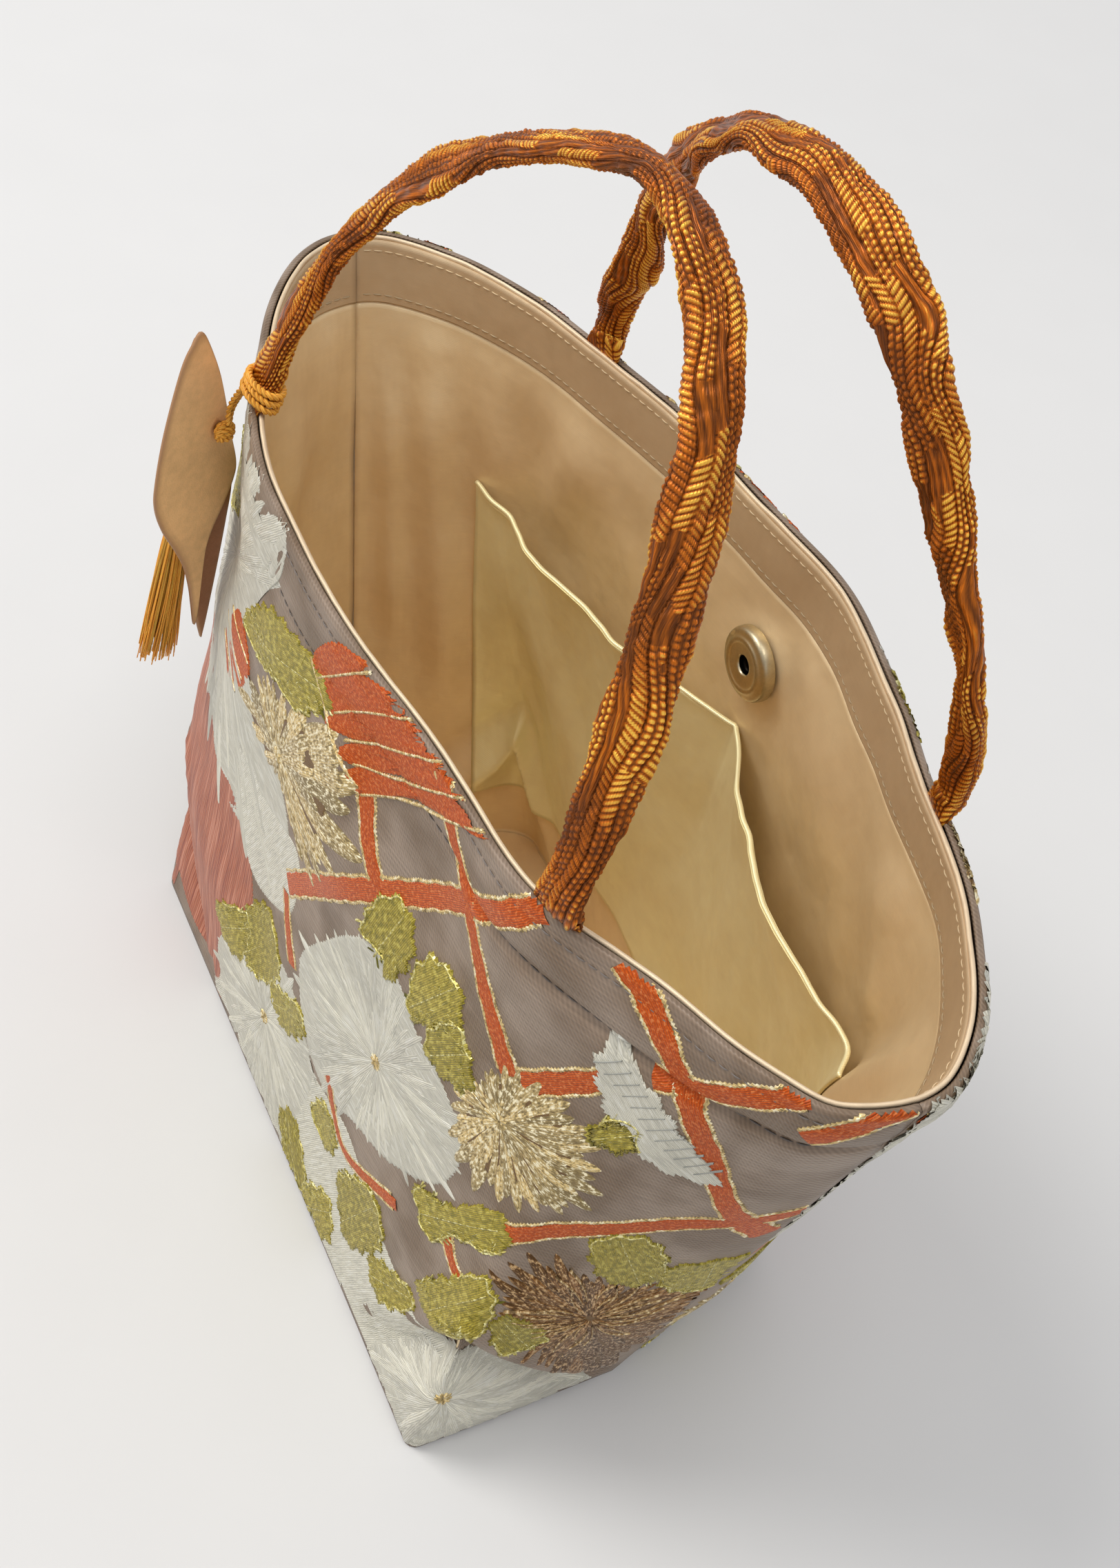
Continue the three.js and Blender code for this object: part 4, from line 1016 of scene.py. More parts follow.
                self.blade("dusk", centre + vein * (k / 3.6 * 0.8), heading + turn, length * 0.34, 0.8,
                           level + 0.22, 0.6, petal_profile, 5, 3)

    def strip(self, thread, places, width, level, tone, jagged=0.0, step=0.6):
        """A line of thread along places, with toothed edges where jagged"""
        path, along, across = line_across(places, step)
        a = np.array([-1.0, -0.5, 0.5, 1.0])
        half = width / 2 * (1 + jagged * np.where(np.arange(len(path)) % 2, 1, -1))
        points = widened(path, across, a, half)
        lift = np.where(np.abs(a) > 0.9, self.SUNK_LINE, level)
        self.patch(thread, points[..., 0], points[..., 1], lift, a * width / 2, along[:, None], tone)

    def ribbon(self, width, places):
        """A red ribbon along places with a toothed gold border on both sides"""
        path, along, across = line_across(places, 0.9)
        a = np.linspace(-1, 1, 9)
        half = width / 2 * (1 + 0.07 * np.sin(along * 0.9) + 0.05 * np.sin(along * 2.3 + 1))
        points = widened(path, across, a, half)
        edge = np.abs(a) ** 8
        lift = (self.RIBBON_LIFT + 0.08) * (1 - edge) + 0.1 * edge
        self.patch("red", points[..., 0], points[..., 1], lift, a * width / 2, along[:, None], 0.5)
        for side in (-1, 1):
            line = path + across * (side * (half + 0.25))[:, None]
            line = line[::3] if len(line) > 9 else line
            self.strip("gold", line, 1.0, self.RIBBON_LIFT + 0.04, 0.8, 0.4, 0.45)

    def make(self, prefix, materials):
        """Lay each thread's patches on the cloth, one piece for each thread"""
        wall, pieces = self.wall, []
        for thread, patches in self.patches.items():
            faces, start = [], 0
            for grids in patches:
                rows, columns = grids[0].shape
                faces.append(grid_faces(rows, columns, start, flip=self.side > 0))
                start += rows * columns
            u, v, lift, across, along, tone = (np.concatenate([grids[k].ravel() for grids in patches])
                                               for k in range(6))
            mirrored = u if self.side < 0 else -u
            inside = (np.abs(mirrored) < wall.panel / 2 - 0.5) & (v > 0.8) & (v < wall.height + 1.7)
            share = np.clip(mirrored / wall.panel + 0.5, 0.002, 0.998)
            z = np.clip(v, 0.5, wall.height + 1.9)
            ground = wall.place(self.side, share, z, 0.0, True)
            lift = lift + 0.05 * wall.gusset_crease(share, z)
            points = ground + wall.normal(self.side, share, z, 0.0, True) * lift[:, None]
            faces = np.concatenate(faces)
            used, faces = np.unique(faces[inside[faces].all(-1)], return_inverse=True)
            uv = np.stack([across, along], -1)[used]
            pieces.append(new_piece(f"{prefix}_{thread}_floats", points[used], faces.reshape(-1, 4),
                                    materials[thread], slot="brocade", uv=uv, tone=tone[used]))
        return pieces


def line_across(places, step):
    """A smooth line on the cloth, its lengths, and the directions across it"""
    path, along = through(places, step)
    tangent = directions(path)
    return path, along, np.stack([-tangent[:, 1], tangent[:, 0]], -1)


def widened(path, across, shares, half):
    """Rows of places across a line, at shares of its half width"""
    return path[:, None] + across[:, None] * (shares[None, :, None] * half[:, None, None])


def reach(outline, centre, angle):
    """How far a closed outline lies from a centre at an angle"""
    away = closed_curve(outline, 2.0) - centre
    angles, distances = np.arctan2(away[:, 1], away[:, 0]), np.linalg.norm(away, axis=1)
    return float(np.interp(angle, angles, distances, period=2 * math.pi))


def petal_profile(t):
    return np.maximum(0.03, np.sin(math.pi * np.clip(t, 0, 1) ** 1.35) ** 0.62)


def pointed_profile(t):
    return np.maximum(0.03, np.minimum(1, t * 2.2) ** 0.6 * (1 - t ** 3) ** 0.8)


# Builders of the pieces

def panel_grids(wall, side, depths, low, high, step, outer_face=True):
    """The two faces of a layer of the wall, and their places on the cloth"""
    shares = wall.shares_between(step)
    marks = [wall.seam + rise for rise in (-1.6, -0.7, 0, 0.7, 1.6)]
    marks += [wall.height + rise for rise in (-OUTER_RIM_STITCH, 0, 0.6, 1.2, 1.9)]
    heights = marked(low, high, step, marks)
    share, z = np.meshgrid(shares, heights)
    outer = wall.place(side, share, z, depths[0], outer_face)
    inner = wall.place(side, share, np.minimum(z, wall.height), depths[1], outer_face)
    uv = np.stack([(share - 0.5) * wall.panel, z], -1)
    return shares, outer, inner, uv


def with_base(wall, side, shares, outer, inner, uv, thickness, floor_z, whole):
    """Adds the floor under a layer: rows of points from the foot of the wall in across the base"""
    along = (shares - shares[0]) / (shares[-1] - shares[0])
    middle_x = (wall.half_base - wall.draw_in * 0.4 - thickness[1]) * (2 * along - 1)
    rows = [(side, t) for t in np.linspace(0.97, 0.0, 12)]
    if whole:
        rows += [(-side, t) for t in np.linspace(0.08, 1.0, 12)]
    low_outer, low_inner, low_uv = [], [], []
    for half, t in rows[::-1]:
        inset = thickness[0] if half == side else BROCADE[1] + 0.3
        edge = wall.place(half, shares, np.zeros_like(shares), inset)
        x = edge[:, 0] * t + middle_x * (1 - t)
        y = edge[:, 1] * t + side * SEAM_GAP * (0 if whole else 1 - t)
        flat = np.stack([x, y, np.full_like(x, floor_z)], -1)
        low_outer.append(flat)
        low_inner.append(flat + (0, 0, thickness[1] - thickness[0]))
        low_uv.append(np.stack([x, -wall.half_base_width + side * y], -1))
    inner = inner.copy()
    inner[0, :, 2] = floor_z + thickness[1] - thickness[0]
    return (np.concatenate([low_outer, outer]), np.concatenate([low_inner, inner]),
            np.concatenate([low_uv, uv]))


def wall_stitches(bundle, wall, side, z, depth, out, pitch, outer_face=True, low=0.004, high=0.996):
    """A row of stitches along the wall: short rounded bars with gaps between them"""
    length, width, height = 0.78 * pitch, 0.36, 0.22
    share = np.linspace(low, high, 500)
    normals = wall.normal(side, share, np.full_like(share, z), depth, outer_face) * out
    places = wall.place(side, share, np.full_like(share, z), depth, outer_face) + normals * 0.05
    lengths = run_lengths(places)
    t = np.linspace(0, 1, 5)
    swell = np.array([0.45, 0.95, 1.0, 0.95, 0.45])
    for start in np.arange(pitch * 0.3, lengths[-1] - pitch, pitch):
        path = resampled(start + t * length, lengths, places)
        normal = unit(resampled(start + t * length, lengths, normals))
        path = path + normal * (height * (np.sin(math.pi * t) * 0.75 - 0.2))[:, None]
        across = unit(np.cross(directions(path), normal))
        points, faces = capped_tube(tube(path, across, normal, width * swell, height * 1.3 * swell, 6))
        bundle.add(points, faces, np.stack([np.full(len(points), 0.2), points[:, 2]], -1), 0.6)


class ToteOperator:
    """What the bag's operators share"""
    bl_options = {"REGISTER", "UNDO"}

    def execute(self, context):
        self.build(context, context.scene.tote_sizes, context.scene.tote_colours)
        return {"FINISHED"}


class TOTE_OT_stage(ToteOperator, bpy.types.Operator):
    """Set up the floor, the soft light and the photograph's camera"""
    bl_idname = "tote.stage"
    bl_label = "Stage, light and camera"

    def build(self, context, sizes, colours):
        camera = bpy.data.cameras.new("photo_camera")
        camera.lens, camera.sensor_width = CAMERA_LENS, SENSOR
        camera.sensor_fit = "AUTO"
        camera.clip_start, camera.clip_end = 0.01, 20.0
        holder = bpy.data.objects.new("photo_camera", camera)
        right, down = Vector(CAMERA_RIGHT), Vector(CAMERA_DOWN)
        back = right.cross(-down)
        turn = Matrix((right, -down, back)).transposed().to_4x4()
        holder.matrix_world = Matrix.Translation(CAMERA_PLACE) @ turn
        context.scene.collection.objects.link(holder)
        context.scene.camera = holder
        context.scene.view_settings.view_transform = "Standard"
        floor = bpy.data.meshes.new("floor")
        corners = [(x * FLOOR_HALF, y * FLOOR_HALF, 0) for x, y in ((-1, -1), (1, -1), (1, 1), (-1, 1))]
        floor.from_pydata(corners, [], [(0, 1, 2, 3)])
        floor.uv_layers.new(name="fabric")
        floor.materials.append(floor_paint())
        ground = bpy.data.objects.new("floor", floor)
        context.scene.collection.objects.link(ground)
        self.lights(context)

    def lights(self, context):
        world = bpy.data.worlds.new("studio")
        context.scene.world = world
        world.use_nodes = True
        background = world.node_tree.nodes["Background"]
        background.inputs[0].default_value = SKY_COLOUR
        background.inputs[1].default_value = SKY_STRENGTH
        for name, place, size, power, colour in LIGHTS:
            lamp = bpy.data.lights.new(name, "AREA")
            lamp.shape, lamp.size, lamp.energy, lamp.color = "DISK", size, power, colour
            holder = bpy.data.objects.new(name, lamp)
            direction = Vector(LIT_POINT) - Vector(place)
            holder.rotation_euler = direction.to_track_quat("-Z", "Y").to_euler()
            holder.location = place
            context.scene.collection.objects.link(holder)


# The handles: degrees that each leans inward, how far a foot stands straight, the length and thickness of what is
# sewn in, and the step
LEAN = {-1: 18.0, 1: 12.0}
FOOT_RISE = 7.0
TONGUE, TONGUE_THICKNESS = 12.0, 0.8
RING_STEP = 0.26


def cord_route(wall, sizes, side):
    """A handle's middle line from inside the wall, up, round and back in, and its plane's upward direction"""
    route, rise = (FRONT_ROUTE, sizes.front_rise / MM) if side < 0 else (BACK_ROUTE, sizes.back_rise / MM)
    lean = math.radians(LEAN[side])
    up = np.array([0, -side * math.sin(lean), math.cos(lean)])
    z = wall.height + np.array([-TONGUE, -5, 0.3])
    sewn = []
    for share in wall.foot_shares(side):
        inside = wall.place(side, np.full(3, share), np.minimum(z, wall.height), FOOT_DEPTH)
        inside[:, 2] = z
        sewn.append(inside)
    start = np.array([0.0, side * wall.foot_y(), wall.height + FOOT_RISE])
    free = [start + (across * wall.foot_x, 0, 0) + up * (climb * rise + 0.3) for across, climb in route]
    bends = [sewn[foot][2] * 0.45 + free[-foot] * 0.55 for foot in (0, 1)]
    for bend in bends:
        bend[2] = wall.height + 3.8
    points = np.vstack([sewn[0], bends[:1], free, bends[1:], sewn[1][::-1]])
    return through(points, RING_STEP), up


class TOTE_OT_handles(ToteOperator, bpy.types.Operator):
    """Braid the two handles and sew their feet between the layers of the rim"""
    bl_idname = "tote.handles"
    bl_label = "Braided handles"

    # Way round the cord, columns of yarn round it, and points in each ring
    GIRTH, COLUMNS, RING = 26.0, 10, 110
    # Length of a bead, of a slanting stroke, and of a run of one kind
    BEAD, STROKE, RUN = 1.3, 1.25, 11
    # Where a blend from the bag to the handle would start above the rim, and how long it would be; no such blend is
    # made
    BLEND_START, BLEND_LENGTH = 0.8, 15
    # Where the flat braid turns about its own line: share of the free length, degrees from the handle's plane
    TURNS = {
        -1: [(0, 0), (0.03, 14), (0.09, 22), (0.2, 26), (0.3, 38), (0.4, 58), (0.48, 80), (0.55, 92),
            (0.585, 94), (0.63, 76), (0.7, 64), (0.77, 50), (0.85, 44), (0.92, 42), (0.97, 22), (1, 3)],
        1: [(0, 0), (0.03, -24), (0.085, -44), (0.14, -30), (0.19, -8), (0.27, 22), (0.367, 62), (0.43, 88),
            (0.485, 92), (0.53, 70), (0.58, 60), (0.7, 54), (0.75, 22), (0.8, 6), (0.85, -6), (0.89, -20),
            (0.94, -18), (0.98, -8), (1, 0)],
    }
    # Width of the cord along the free length, as a share of its even width
    WIDTHS = {
        -1: [(0, 0.96), (0.08, 0.92), (0.3, 0.94), (0.5, 1.0), (0.75, 1.06), (1, 1.04)],
        1: [(0, 1.0), (0.3, 0.98), (0.5, 1.1), (0.7, 1.04), (0.88, 0.84), (1, 0.86)],
    }

    def build(self, context, sizes, colours):
        silk = braid_silk(colours)
        for side, name in SIDES:
            self.handle(Wall(sizes), sizes, side, name, silk)

    def handle(self, wall, sizes, side, name, silk):
        (path, along), up = cord_route(wall, sizes, side)
        total = along[-1]
        from_end = np.minimum(along, total - along)
        foot = TONGUE + FOOT_RISE
        part = np.clip((along - foot) / (total - 2 * foot), 0, 1)
        tangent = directions(path)
        across = self.across(wall, side, path, part, from_end, along)
        across = unit(across - tangent * np.sum(across * tangent, -1, keepdims=True))
        normal = unit(np.cross(tangent, across))
        free = smoothstep(TONGUE - 1, TONGUE + 4.5, from_end)
        spread = np.array(self.WIDTHS[side])
        uneven = 1 + 0.045 * np.sin(along / 6.5) + 0.035 * np.sin(along / 2.9 + 2)
        wide = sizes.cord_width / MM * np.interp(part, spread[:, 0], spread[:, 1]) * uneven
        thick = TONGUE_THICKNESS + (sizes.cord_thickness / MM - TONGUE_THICKNESS) * free
        points, faces, uv, tone = self.braid(path, across, normal, wide, thick, along, free, side)
        handle = new_piece(f"{name}_braided_handle", points, faces, silk, None, "silk_cord", uv, tone)
        anchor = np.array([0, side * wall.foot_y(), wall.height + self.BLEND_START])
        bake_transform(handle)
        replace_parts(handle, f"{name}_handle", f"{name}_foot_left", f"{name}_foot_right")

    def across(self, wall, side, path, part, from_end, along):
        """Which way the flat cord lies: along the wall in the seam, and then turning as it rises"""
        lean = math.radians(LEAN[side])
        out = np.array([0, side * math.cos(lean), math.sin(lean)])
        in_plane = unit(np.cross(directions(path), out))
        stops = np.array(self.TURNS[side])
        turn = np.radians(np.interp(part, stops[:, 0], stops[:, 1]))
        kernel = np.hanning(45) / np.hanning(45).sum()
        turn = np.convolve(np.pad(turn, 22, mode="edge"), kernel, "valid")
        waver = 0.10 * np.sin(along / 8.0) + 0.08 * np.sin(along / 4.1 + 1)
        turn = turn + waver * smoothstep(0, 0.06, part)
        free_way = in_plane * np.cos(turn)[:, None] + out * np.sin(turn)[:, None]
        wall_way = np.empty_like(path)
        for foot, share in enumerate(wall.foot_shares(side)):
            ends = wall.place(side, [share - 0.01, share + 0.01], wall.height - 3, FOOT_DEPTH)
            wall_way[(along > along[-1] / 2) == bool(foot)] = unit(ends[1] - ends[0])
        same = np.sign(np.sum(wall_way * free_way, -1, keepdims=True))
        blend = smoothstep(TONGUE - 1, TONGUE + 12, from_end)[:, None]
        return unit(wall_way * same * (1 - blend) + free_way * blend)

    def braid(self, path, across, normal, wide, thick, along, free, side):
        """A tube of lengthwise columns of silk: small beads, slanting strokes and smooth dark folds, with a tone of
        painted light that is high on the ridges and low in the grooves
        """
        columns, girth = self.COLUMNS, self.GIRTH
        angle = 2 * math.pi * (np.arange(self.RING) + 0.5) / self.RING
        cosine, sine = np.cos(angle), np.sin(angle)
        ring_x = np.sign(cosine) * np.abs(cosine) ** 0.86
        ring_y = np.sign(sine) * np.abs(sine) ** 0.8
        looped_x, looped_y = np.r_[ring_x, ring_x[:1]], np.r_[ring_y, ring_y[:1]]
        lengths = np.hypot(np.diff(looped_x) * 5.2, np.diff(looped_y) * 2.4)
        share = (np.r_[0, np.cumsum(lengths)[:-1]] / lengths.sum())[None, :]
        far, near = along[:, None], share * girth

        def relief(stretch, wavelength, seed):
            return soft_noise(far * stretch, near, wavelength, seed + side, closed=girth)

        column = share * columns + 0.6 * relief(0.7, 15, 50) + 0.4 * soft_noise(far, 0.0, 26, 90 + side)
        which = np.floor(column).astype(int)
        f = column - which
        # Each column changes its kind of thread after about one run, as a table of draws says
        entries = 509
        table = np.random.RandomState(60 + side).uniform(0, 1, (3, entries))
        span = np.floor(far / self.RUN + table[0][which % columns] + 0.25 * relief(1, 9, 30)).astype(int)
        key = ((which % columns) * 31 + span * 7) % entries
        kind, tint = table[1][key], table[2][key]
        crown = 1 - np.abs(2 * f - 1) ** 2.6
        half_row = np.floor(2 * f)
        beads = np.abs(np.sin(2 * math.pi * f) * np.sin(math.pi * (far / self.BEAD + 0.5 * half_row)))
        way = np.where(which % 2, 1.0, -1.0)
        strokes = np.abs(np.sin(math.pi * (far / self.STROKE + way * 1.3 * f)))
        folds = 0.30 + 0.22 * np.sin(2 * math.pi * (f * 2 + 0.1 * far))
        grain = np.where(kind < 0.42, beads, np.where(kind < 0.80, strokes, folds))
        ridge = 0.2 + 0.8 * crown ** 0.7
        height = (0.45 * ridge + 0.42 * grain * ridge ** 0.4) * free[:, None]
        knuckle = (0.45 * relief(0.55, 9, 70) + 0.2 * relief(1, 4.5, 80)) * free[:, None]
        rise = height + knuckle
        inset = 0.75 * free[:, None]
        radial_x = ring_x * (wide[:, None] / 2 - inset + rise)
        radial_y = ring_y * (np.maximum(thick[:, None] / 2 - inset, 0.38) + rise)
        rings = path[:, None] + across[:, None] * radial_x[..., None] + normal[:, None] * radial_y[..., None]
        points, faces = capped_tube(rings)
        # Painted light: the tone is higher on raised knuckles and on the yarn's ridges and beads, lower in the
        # grooves; patches and tints vary it at random
        patch = 0.5 + 0.5 * relief(0.5, 16, 40)
        patch_tone_and_knuckle_light = np.clip(0.25 + 0.3 * tint + 0.75 * patch + 0.5 * knuckle, 0.08, 1.2)
        tone = np.clip(0.02 + 1.2 * grain ** 1.2 * ridge, 0, 1) * patch_tone_and_knuckle_light
        uv = np.stack(np.broadcast_arrays(f * 2.6 + which % 7, far), -1)
        uv = np.concatenate([uv.reshape(-1, 2), np.zeros((2, 2))])
        return points, faces, uv, np.concatenate([np.clip(tone, 0, 1).ravel(), [0.3, 0.3]])


class TOTE_OT_outside(ToteOperator, bpy.types.Operator):
    """Make the brocade panels with their woven flowers, leaves and lattice"""
    bl_idname = "tote.outside"
    bl_label = "Brocade outside"

    STEP = 1.7
    WHITE_LEAF_RIBS = 12

    def build(self, context, sizes, colours):
        wall = Wall(sizes)
        ground = brocade_ground(colours)
        golds = {
            # thread: name, colour, pale flecks painted as glints, painted shade at the edge of a petal
            "gold": ("gold thread", colours.gold, (1.0, 0.90, 0.62), 0.3),
            "straw": ("straw thread", (0.82, 0.70, 0.22), (1.0, 0.95, 0.5), 0.6),
            # Gold darkened as painted shade, with its pale curls, for the flower in shade
            "gold_in_painted_shade": ("bronze thread", colours.gold_in_painted_shade, (0.62, 0.40, 0.19), 0.3),
            "curl": ("pale bronze thread", (0.66, 0.42, 0.18), (0.95, 0.75, 0.42), 0.5),
        }
        silks = {
            # thread: name, colour, darker, lighter, threads per mm, then roughness and painted shade at a petal's
            # edge
            "white": ("white silk", colours.white, 0.84, 1.15, 2.2, 0.4, 0.72),
            "shade_of_white": ("grey silk", (0.42, 0.42, 0.38), 0.8, 1.1, 2.0),
            # Painted shade that shows between the gold petals
            "shade": ("painted shade under gold petals", (0.20, 0.11, 0.04), 0.7, 1.3, 2.0),
            "dusk": ("leaf shade thread", (0.15, 0.135, 0.012), 0.7, 1.3, 2.0),
            "green": ("leaf silk", colours.green, 0.7, 1.3, 2.2),
            "red": ("lattice silk", colours.red, 0.8, 1.2, 2.2),
            "red_in_painted_sheen": ("rose silk", colours.red_in_painted_sheen, 0.8, 1.2, 1.2),
        }
        flecks = {
            # thread: gaps, flecks, how much of each, and how close they lie
            "white": ((0.40, 0.39, 0.34), (0.76, 0.75, 0.68), 0.45, (1.3, 0.13)),
            "green": ((0.13, 0.12, 0.01), (0.62, 0.53, 0.11), 0.6, (0.9, 0.5)),
            "red": ((0.20, 0.03, 0.008), (0.80, 0.30, 0.10), 0.45, (1.5, 1.2)),
            "red_in_painted_sheen": ((0.24, 0.06, 0.04), (0.60, 0.26, 0.17), 0.7, (1.1, 0.03)),
        }
        threads = {thread: gold_floats(*given) for thread, given in golds.items()}
        for thread, given in silks.items():
            silk = silk_floats(*given)
            if thread in flecks:
                flecked(silk, *flecks[thread])
            threads[thread] = silk.material
        for side, name in SIDES:
            top = wall.height + EDGE_OVER
            shares, outer, inner, uv = panel_grids(wall, side, BROCADE, 0.0, top, self.STEP)
            if side < 0:
                outer, inner, uv = with_base(wall, side, shares, outer, inner, uv, BROCADE, 0.0, True)
            panel = closed_sheet(f"{name}_brocade", outer, inner, uv, ground, slot="brocade")
            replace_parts(panel, f"outer_{name}_panel")
            floats = self.motifs(wall, side, name, threads)
        self.stiffening(wall)

    def motifs(self, wall, side, name, threads):
        floats = Floats(wall, side, np.random.RandomState(20 + side))
        # Red silk with painted sheen over the band at the left
        floats.fill("red_in_painted_sheen", RED_SHEEN_BAND, 0.08, 0.5, math.radians(90))
        for field in WHITE_FIELDS:
            floats.fill("white", field, 0.11, 0.6, math.radians(60))
        for width, places in RIBBONS:
            floats.ribbon(width, places)
        for field in RED_FIELDS:
            floats.fill("red", field, 0.24)
        for line in RED_LINES:
            floats.strip("gold", line, 0.8, 0.42, 0.8, 0.4, 0.45)
        for k, entry in enumerate(BLOOMS + BACK_BLOOMS * (side > 0)):
            floats.bloom(entry, 0.1 + 0.03 * k)
        floats.curls(SHADED_GOLD_CENTRE, 0.62)
        for k, outline in enumerate(LEAVES + BACK_LEAVES * (side > 0)):
            floats.leaf(outline, 0.22 + 0.03 * (k % 4))
        floats.leaf(WHITE_LEAF, 0.3, "white")
        for k in range(self.WHITE_LEAF_RIBS):
            rib = np.array([91 + 2.6 * k, 158 - 1.35 * k]) + ((-2.2, -1.2), (2.4, 3.6))
            floats.strip("shade_of_white", rib, 0.35, 0.62, 0.5)
        return floats.make(name, threads)

    def stiffening(self, wall):
        felt = felted("stiffener", (0.8, 0.79, 0.75))
        for side, name in SIDES:
            _, outer, inner, uv = panel_grids(wall, side, INTERLINING, FLOOR_Z, wall.seam - 0.3, 4.0, False)
            piece = closed_sheet(f"{name}_stiffener", outer, inner, uv, felt, slot="interlining")
            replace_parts(piece, f"{name}_interlining")
        refinish("base_board", felted("greyboard", (0.35, 0.25, 0.17)))


class TOTE_OT_inside(ToteOperator, bpy.types.Operator):
    """Line the bag with satin, with its facing, rolled edge and slip pocket"""
    bl_idname = "tote.inside"
    bl_label = "Satin inside"

    # Soft folds of the lining that stand in from the wall: ends on the cloth, half width, height
    FOLDS = {
        1: [((-124, 160), (-116, 40), 7, 4.5), ((-106, 158), (-92, 50), 8, 3.4),
            ((-136, 150), (-132, 60), 5, 3.0), ((-98, 120), (-30, 30), 12, 3.0),
            ((116, 160), (104, 40), 8, 5.0), ((133, 156), (126, 40), 7, 4.5),
            ((98, 110), (60, 20), 10, 3.6), ((-20, 24), (40, 12), 9, 2.0),
            ((104, 70), (130, 18), 6, 3.0), ((-86, 60), (-112, 20), 6, 2.6),
            ((70, 158), (92, 120), 9, 2.6), ((-70, 158), (-84, 120), 9, 2.2),
            ((30, 110), (52, 30), 11, 2.4)],
        -1: [((-118, 150), (-108, 40), 8, 4.0), ((-60, 150), (-40, 60), 12, 2.2),
             ((116, 150), (106, 30), 8, 4.4), ((134, 140), (128, 40), 6, 3.4),
             ((40, 150), (60, 40), 12, 2.0), ((90, 70), (60, 14), 8, 2.8)],
    }
    # How far inside the outer face the rolled edge's middle lies
    ROLL_DEPTH = 2.6

    def build(self, context, sizes, colours):
        self.wall = Wall(sizes)
        satin = lining_satin("champagne satin", colours.satin)
        facing = lining_satin("facing satin", colours.facing, 0.45)
        roll = self.rolled_edge(colours)
        for side, name in SIDES:
            self.lining(side, name, satin)
            low = self.wall.seam - 0.28
            _, outer, inner, uv = panel_grids(self.wall, side, FACING, low, self.wall.height, 1.7, False)
            piece = closed_sheet(f"{name}_facing_band", outer, inner, uv, facing, slot="facing")
            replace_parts(piece, f"{name}_facing")
        # Painted light: the pocket is the lining's satin made lighter, as light falls on it; its rolled hem shares it
        self.pocket(sizes, lining_satin("pocket satin painted lighter", shaded(colours.satin, 1.3)[:3], 0.33))

    def folds(self, side, u, z):
        """How far the lining stands in from the wall"""
        broad, close = soft_noise(u, z, 60, 31 + side), soft_noise(u, z, 22, 41 + side)
        total = np.maximum(0, 0.35 + 0.45 * broad + 0.22 * close)
        for (u0, z0), (u1, z1), half, height in self.FOLDS[side]:
            span = np.array([u1 - u0, z1 - z0], float)
            t = np.clip(((u - u0) * span[0] + (z - z0) * span[1]) / (span @ span), -0.1, 1.1)
            away = np.hypot(u - u0 - t * span[0], z - z0 - t * span[1])
            ends = smoothstep(-0.1, 0.25, t) * smoothstep(1.1, 0.7, t)
            total = total + height * np.exp(-(away / half) ** 2) * ends
        clear = 1 - np.exp(-((u / 17) ** 2 + ((z - SNAP_Z) / 15) ** 2) ** 2)
        edges = smoothstep(0, 14, z - FLOOR_Z) * smoothstep(0, 9, self.wall.seam - z)
        near_seam = smoothstep(0, 12, self.wall.panel / 2 - np.abs(u))
        in_corner = np.exp(-((np.abs(u) - self.wall.half_base) / 16) ** 2) * smoothstep(120, 60, z)
        return total * clear * edges * near_seam * (1 - 0.9 * in_corner)

    def lining(self, side, name, satin):
        wall = self.wall
        shares = wall.shares_between(1.8)
        heights = marked(FLOOR_Z, wall.seam - 0.3, 1.8)
        share, z = np.meshgrid(shares, heights)
        fold = self.folds(side, (share - 0.5) * wall.panel, z)
        outer = wall.place(side, share, z, LINING[0] + fold)
        inner = wall.place(side, share, z, LINING[1] + fold)
        uv = np.stack([(share - 0.5) * wall.panel, z], -1)
        outer, inner, uv = with_base(wall, side, shares, outer, inner, uv, LINING, FLOOR_Z, False)
        piece = closed_sheet(f"{name}_satin_lining", outer, inner, uv, satin, slot="satin_lining")
        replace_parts(piece, f"{name}_lining")

    def rolled_edge(self, colours):
        """The facing's edge rolled over the rim, one soft loop"""
        wall = self.wall
        sides = 12
        share = np.linspace(0, 1, 420)[1:-1]
        loop = np.vstack([wall.place(-1, share, wall.height, self.ROLL_DEPTH),
                          wall.place(1, share[::-1], wall.height, self.ROLL_DEPTH)])
        loop[:, 2] = wall.height + 0.3 + 0.12 * soft_noise(loop[:, 0], loop[:, 1] * 2, 18, 77)
        tangent = unit(np.roll(loop, -1, 0) - np.roll(loop, 1, 0))
        up = np.broadcast_to([0.0, 0.0, 1.0], loop.shape)
        across = unit(np.cross(tangent, up))
        thick = 1.15 + 0.12 * soft_noise(loop[:, 0], loop[:, 1], 9, 78)
        rings = tube(loop, across, up, np.full(len(loop), 1.05), thick, sides)
        faces = grid_faces(len(loop) + 1, sides, closed=True) % (len(loop) * sides)
        edge = lining_satin("edge satin", colours.edge, 0.38)
        uv = np.stack(np.broadcast_arrays(np.arange(sides) * 0.4, np.arange(len(loop))[:, None] * 1.4), -1)
        piece = new_piece("rolled_rim_edge", rings, faces, edge, slot="rim_edge", uv=uv)
        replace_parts(piece, "rim_roll")
        return piece

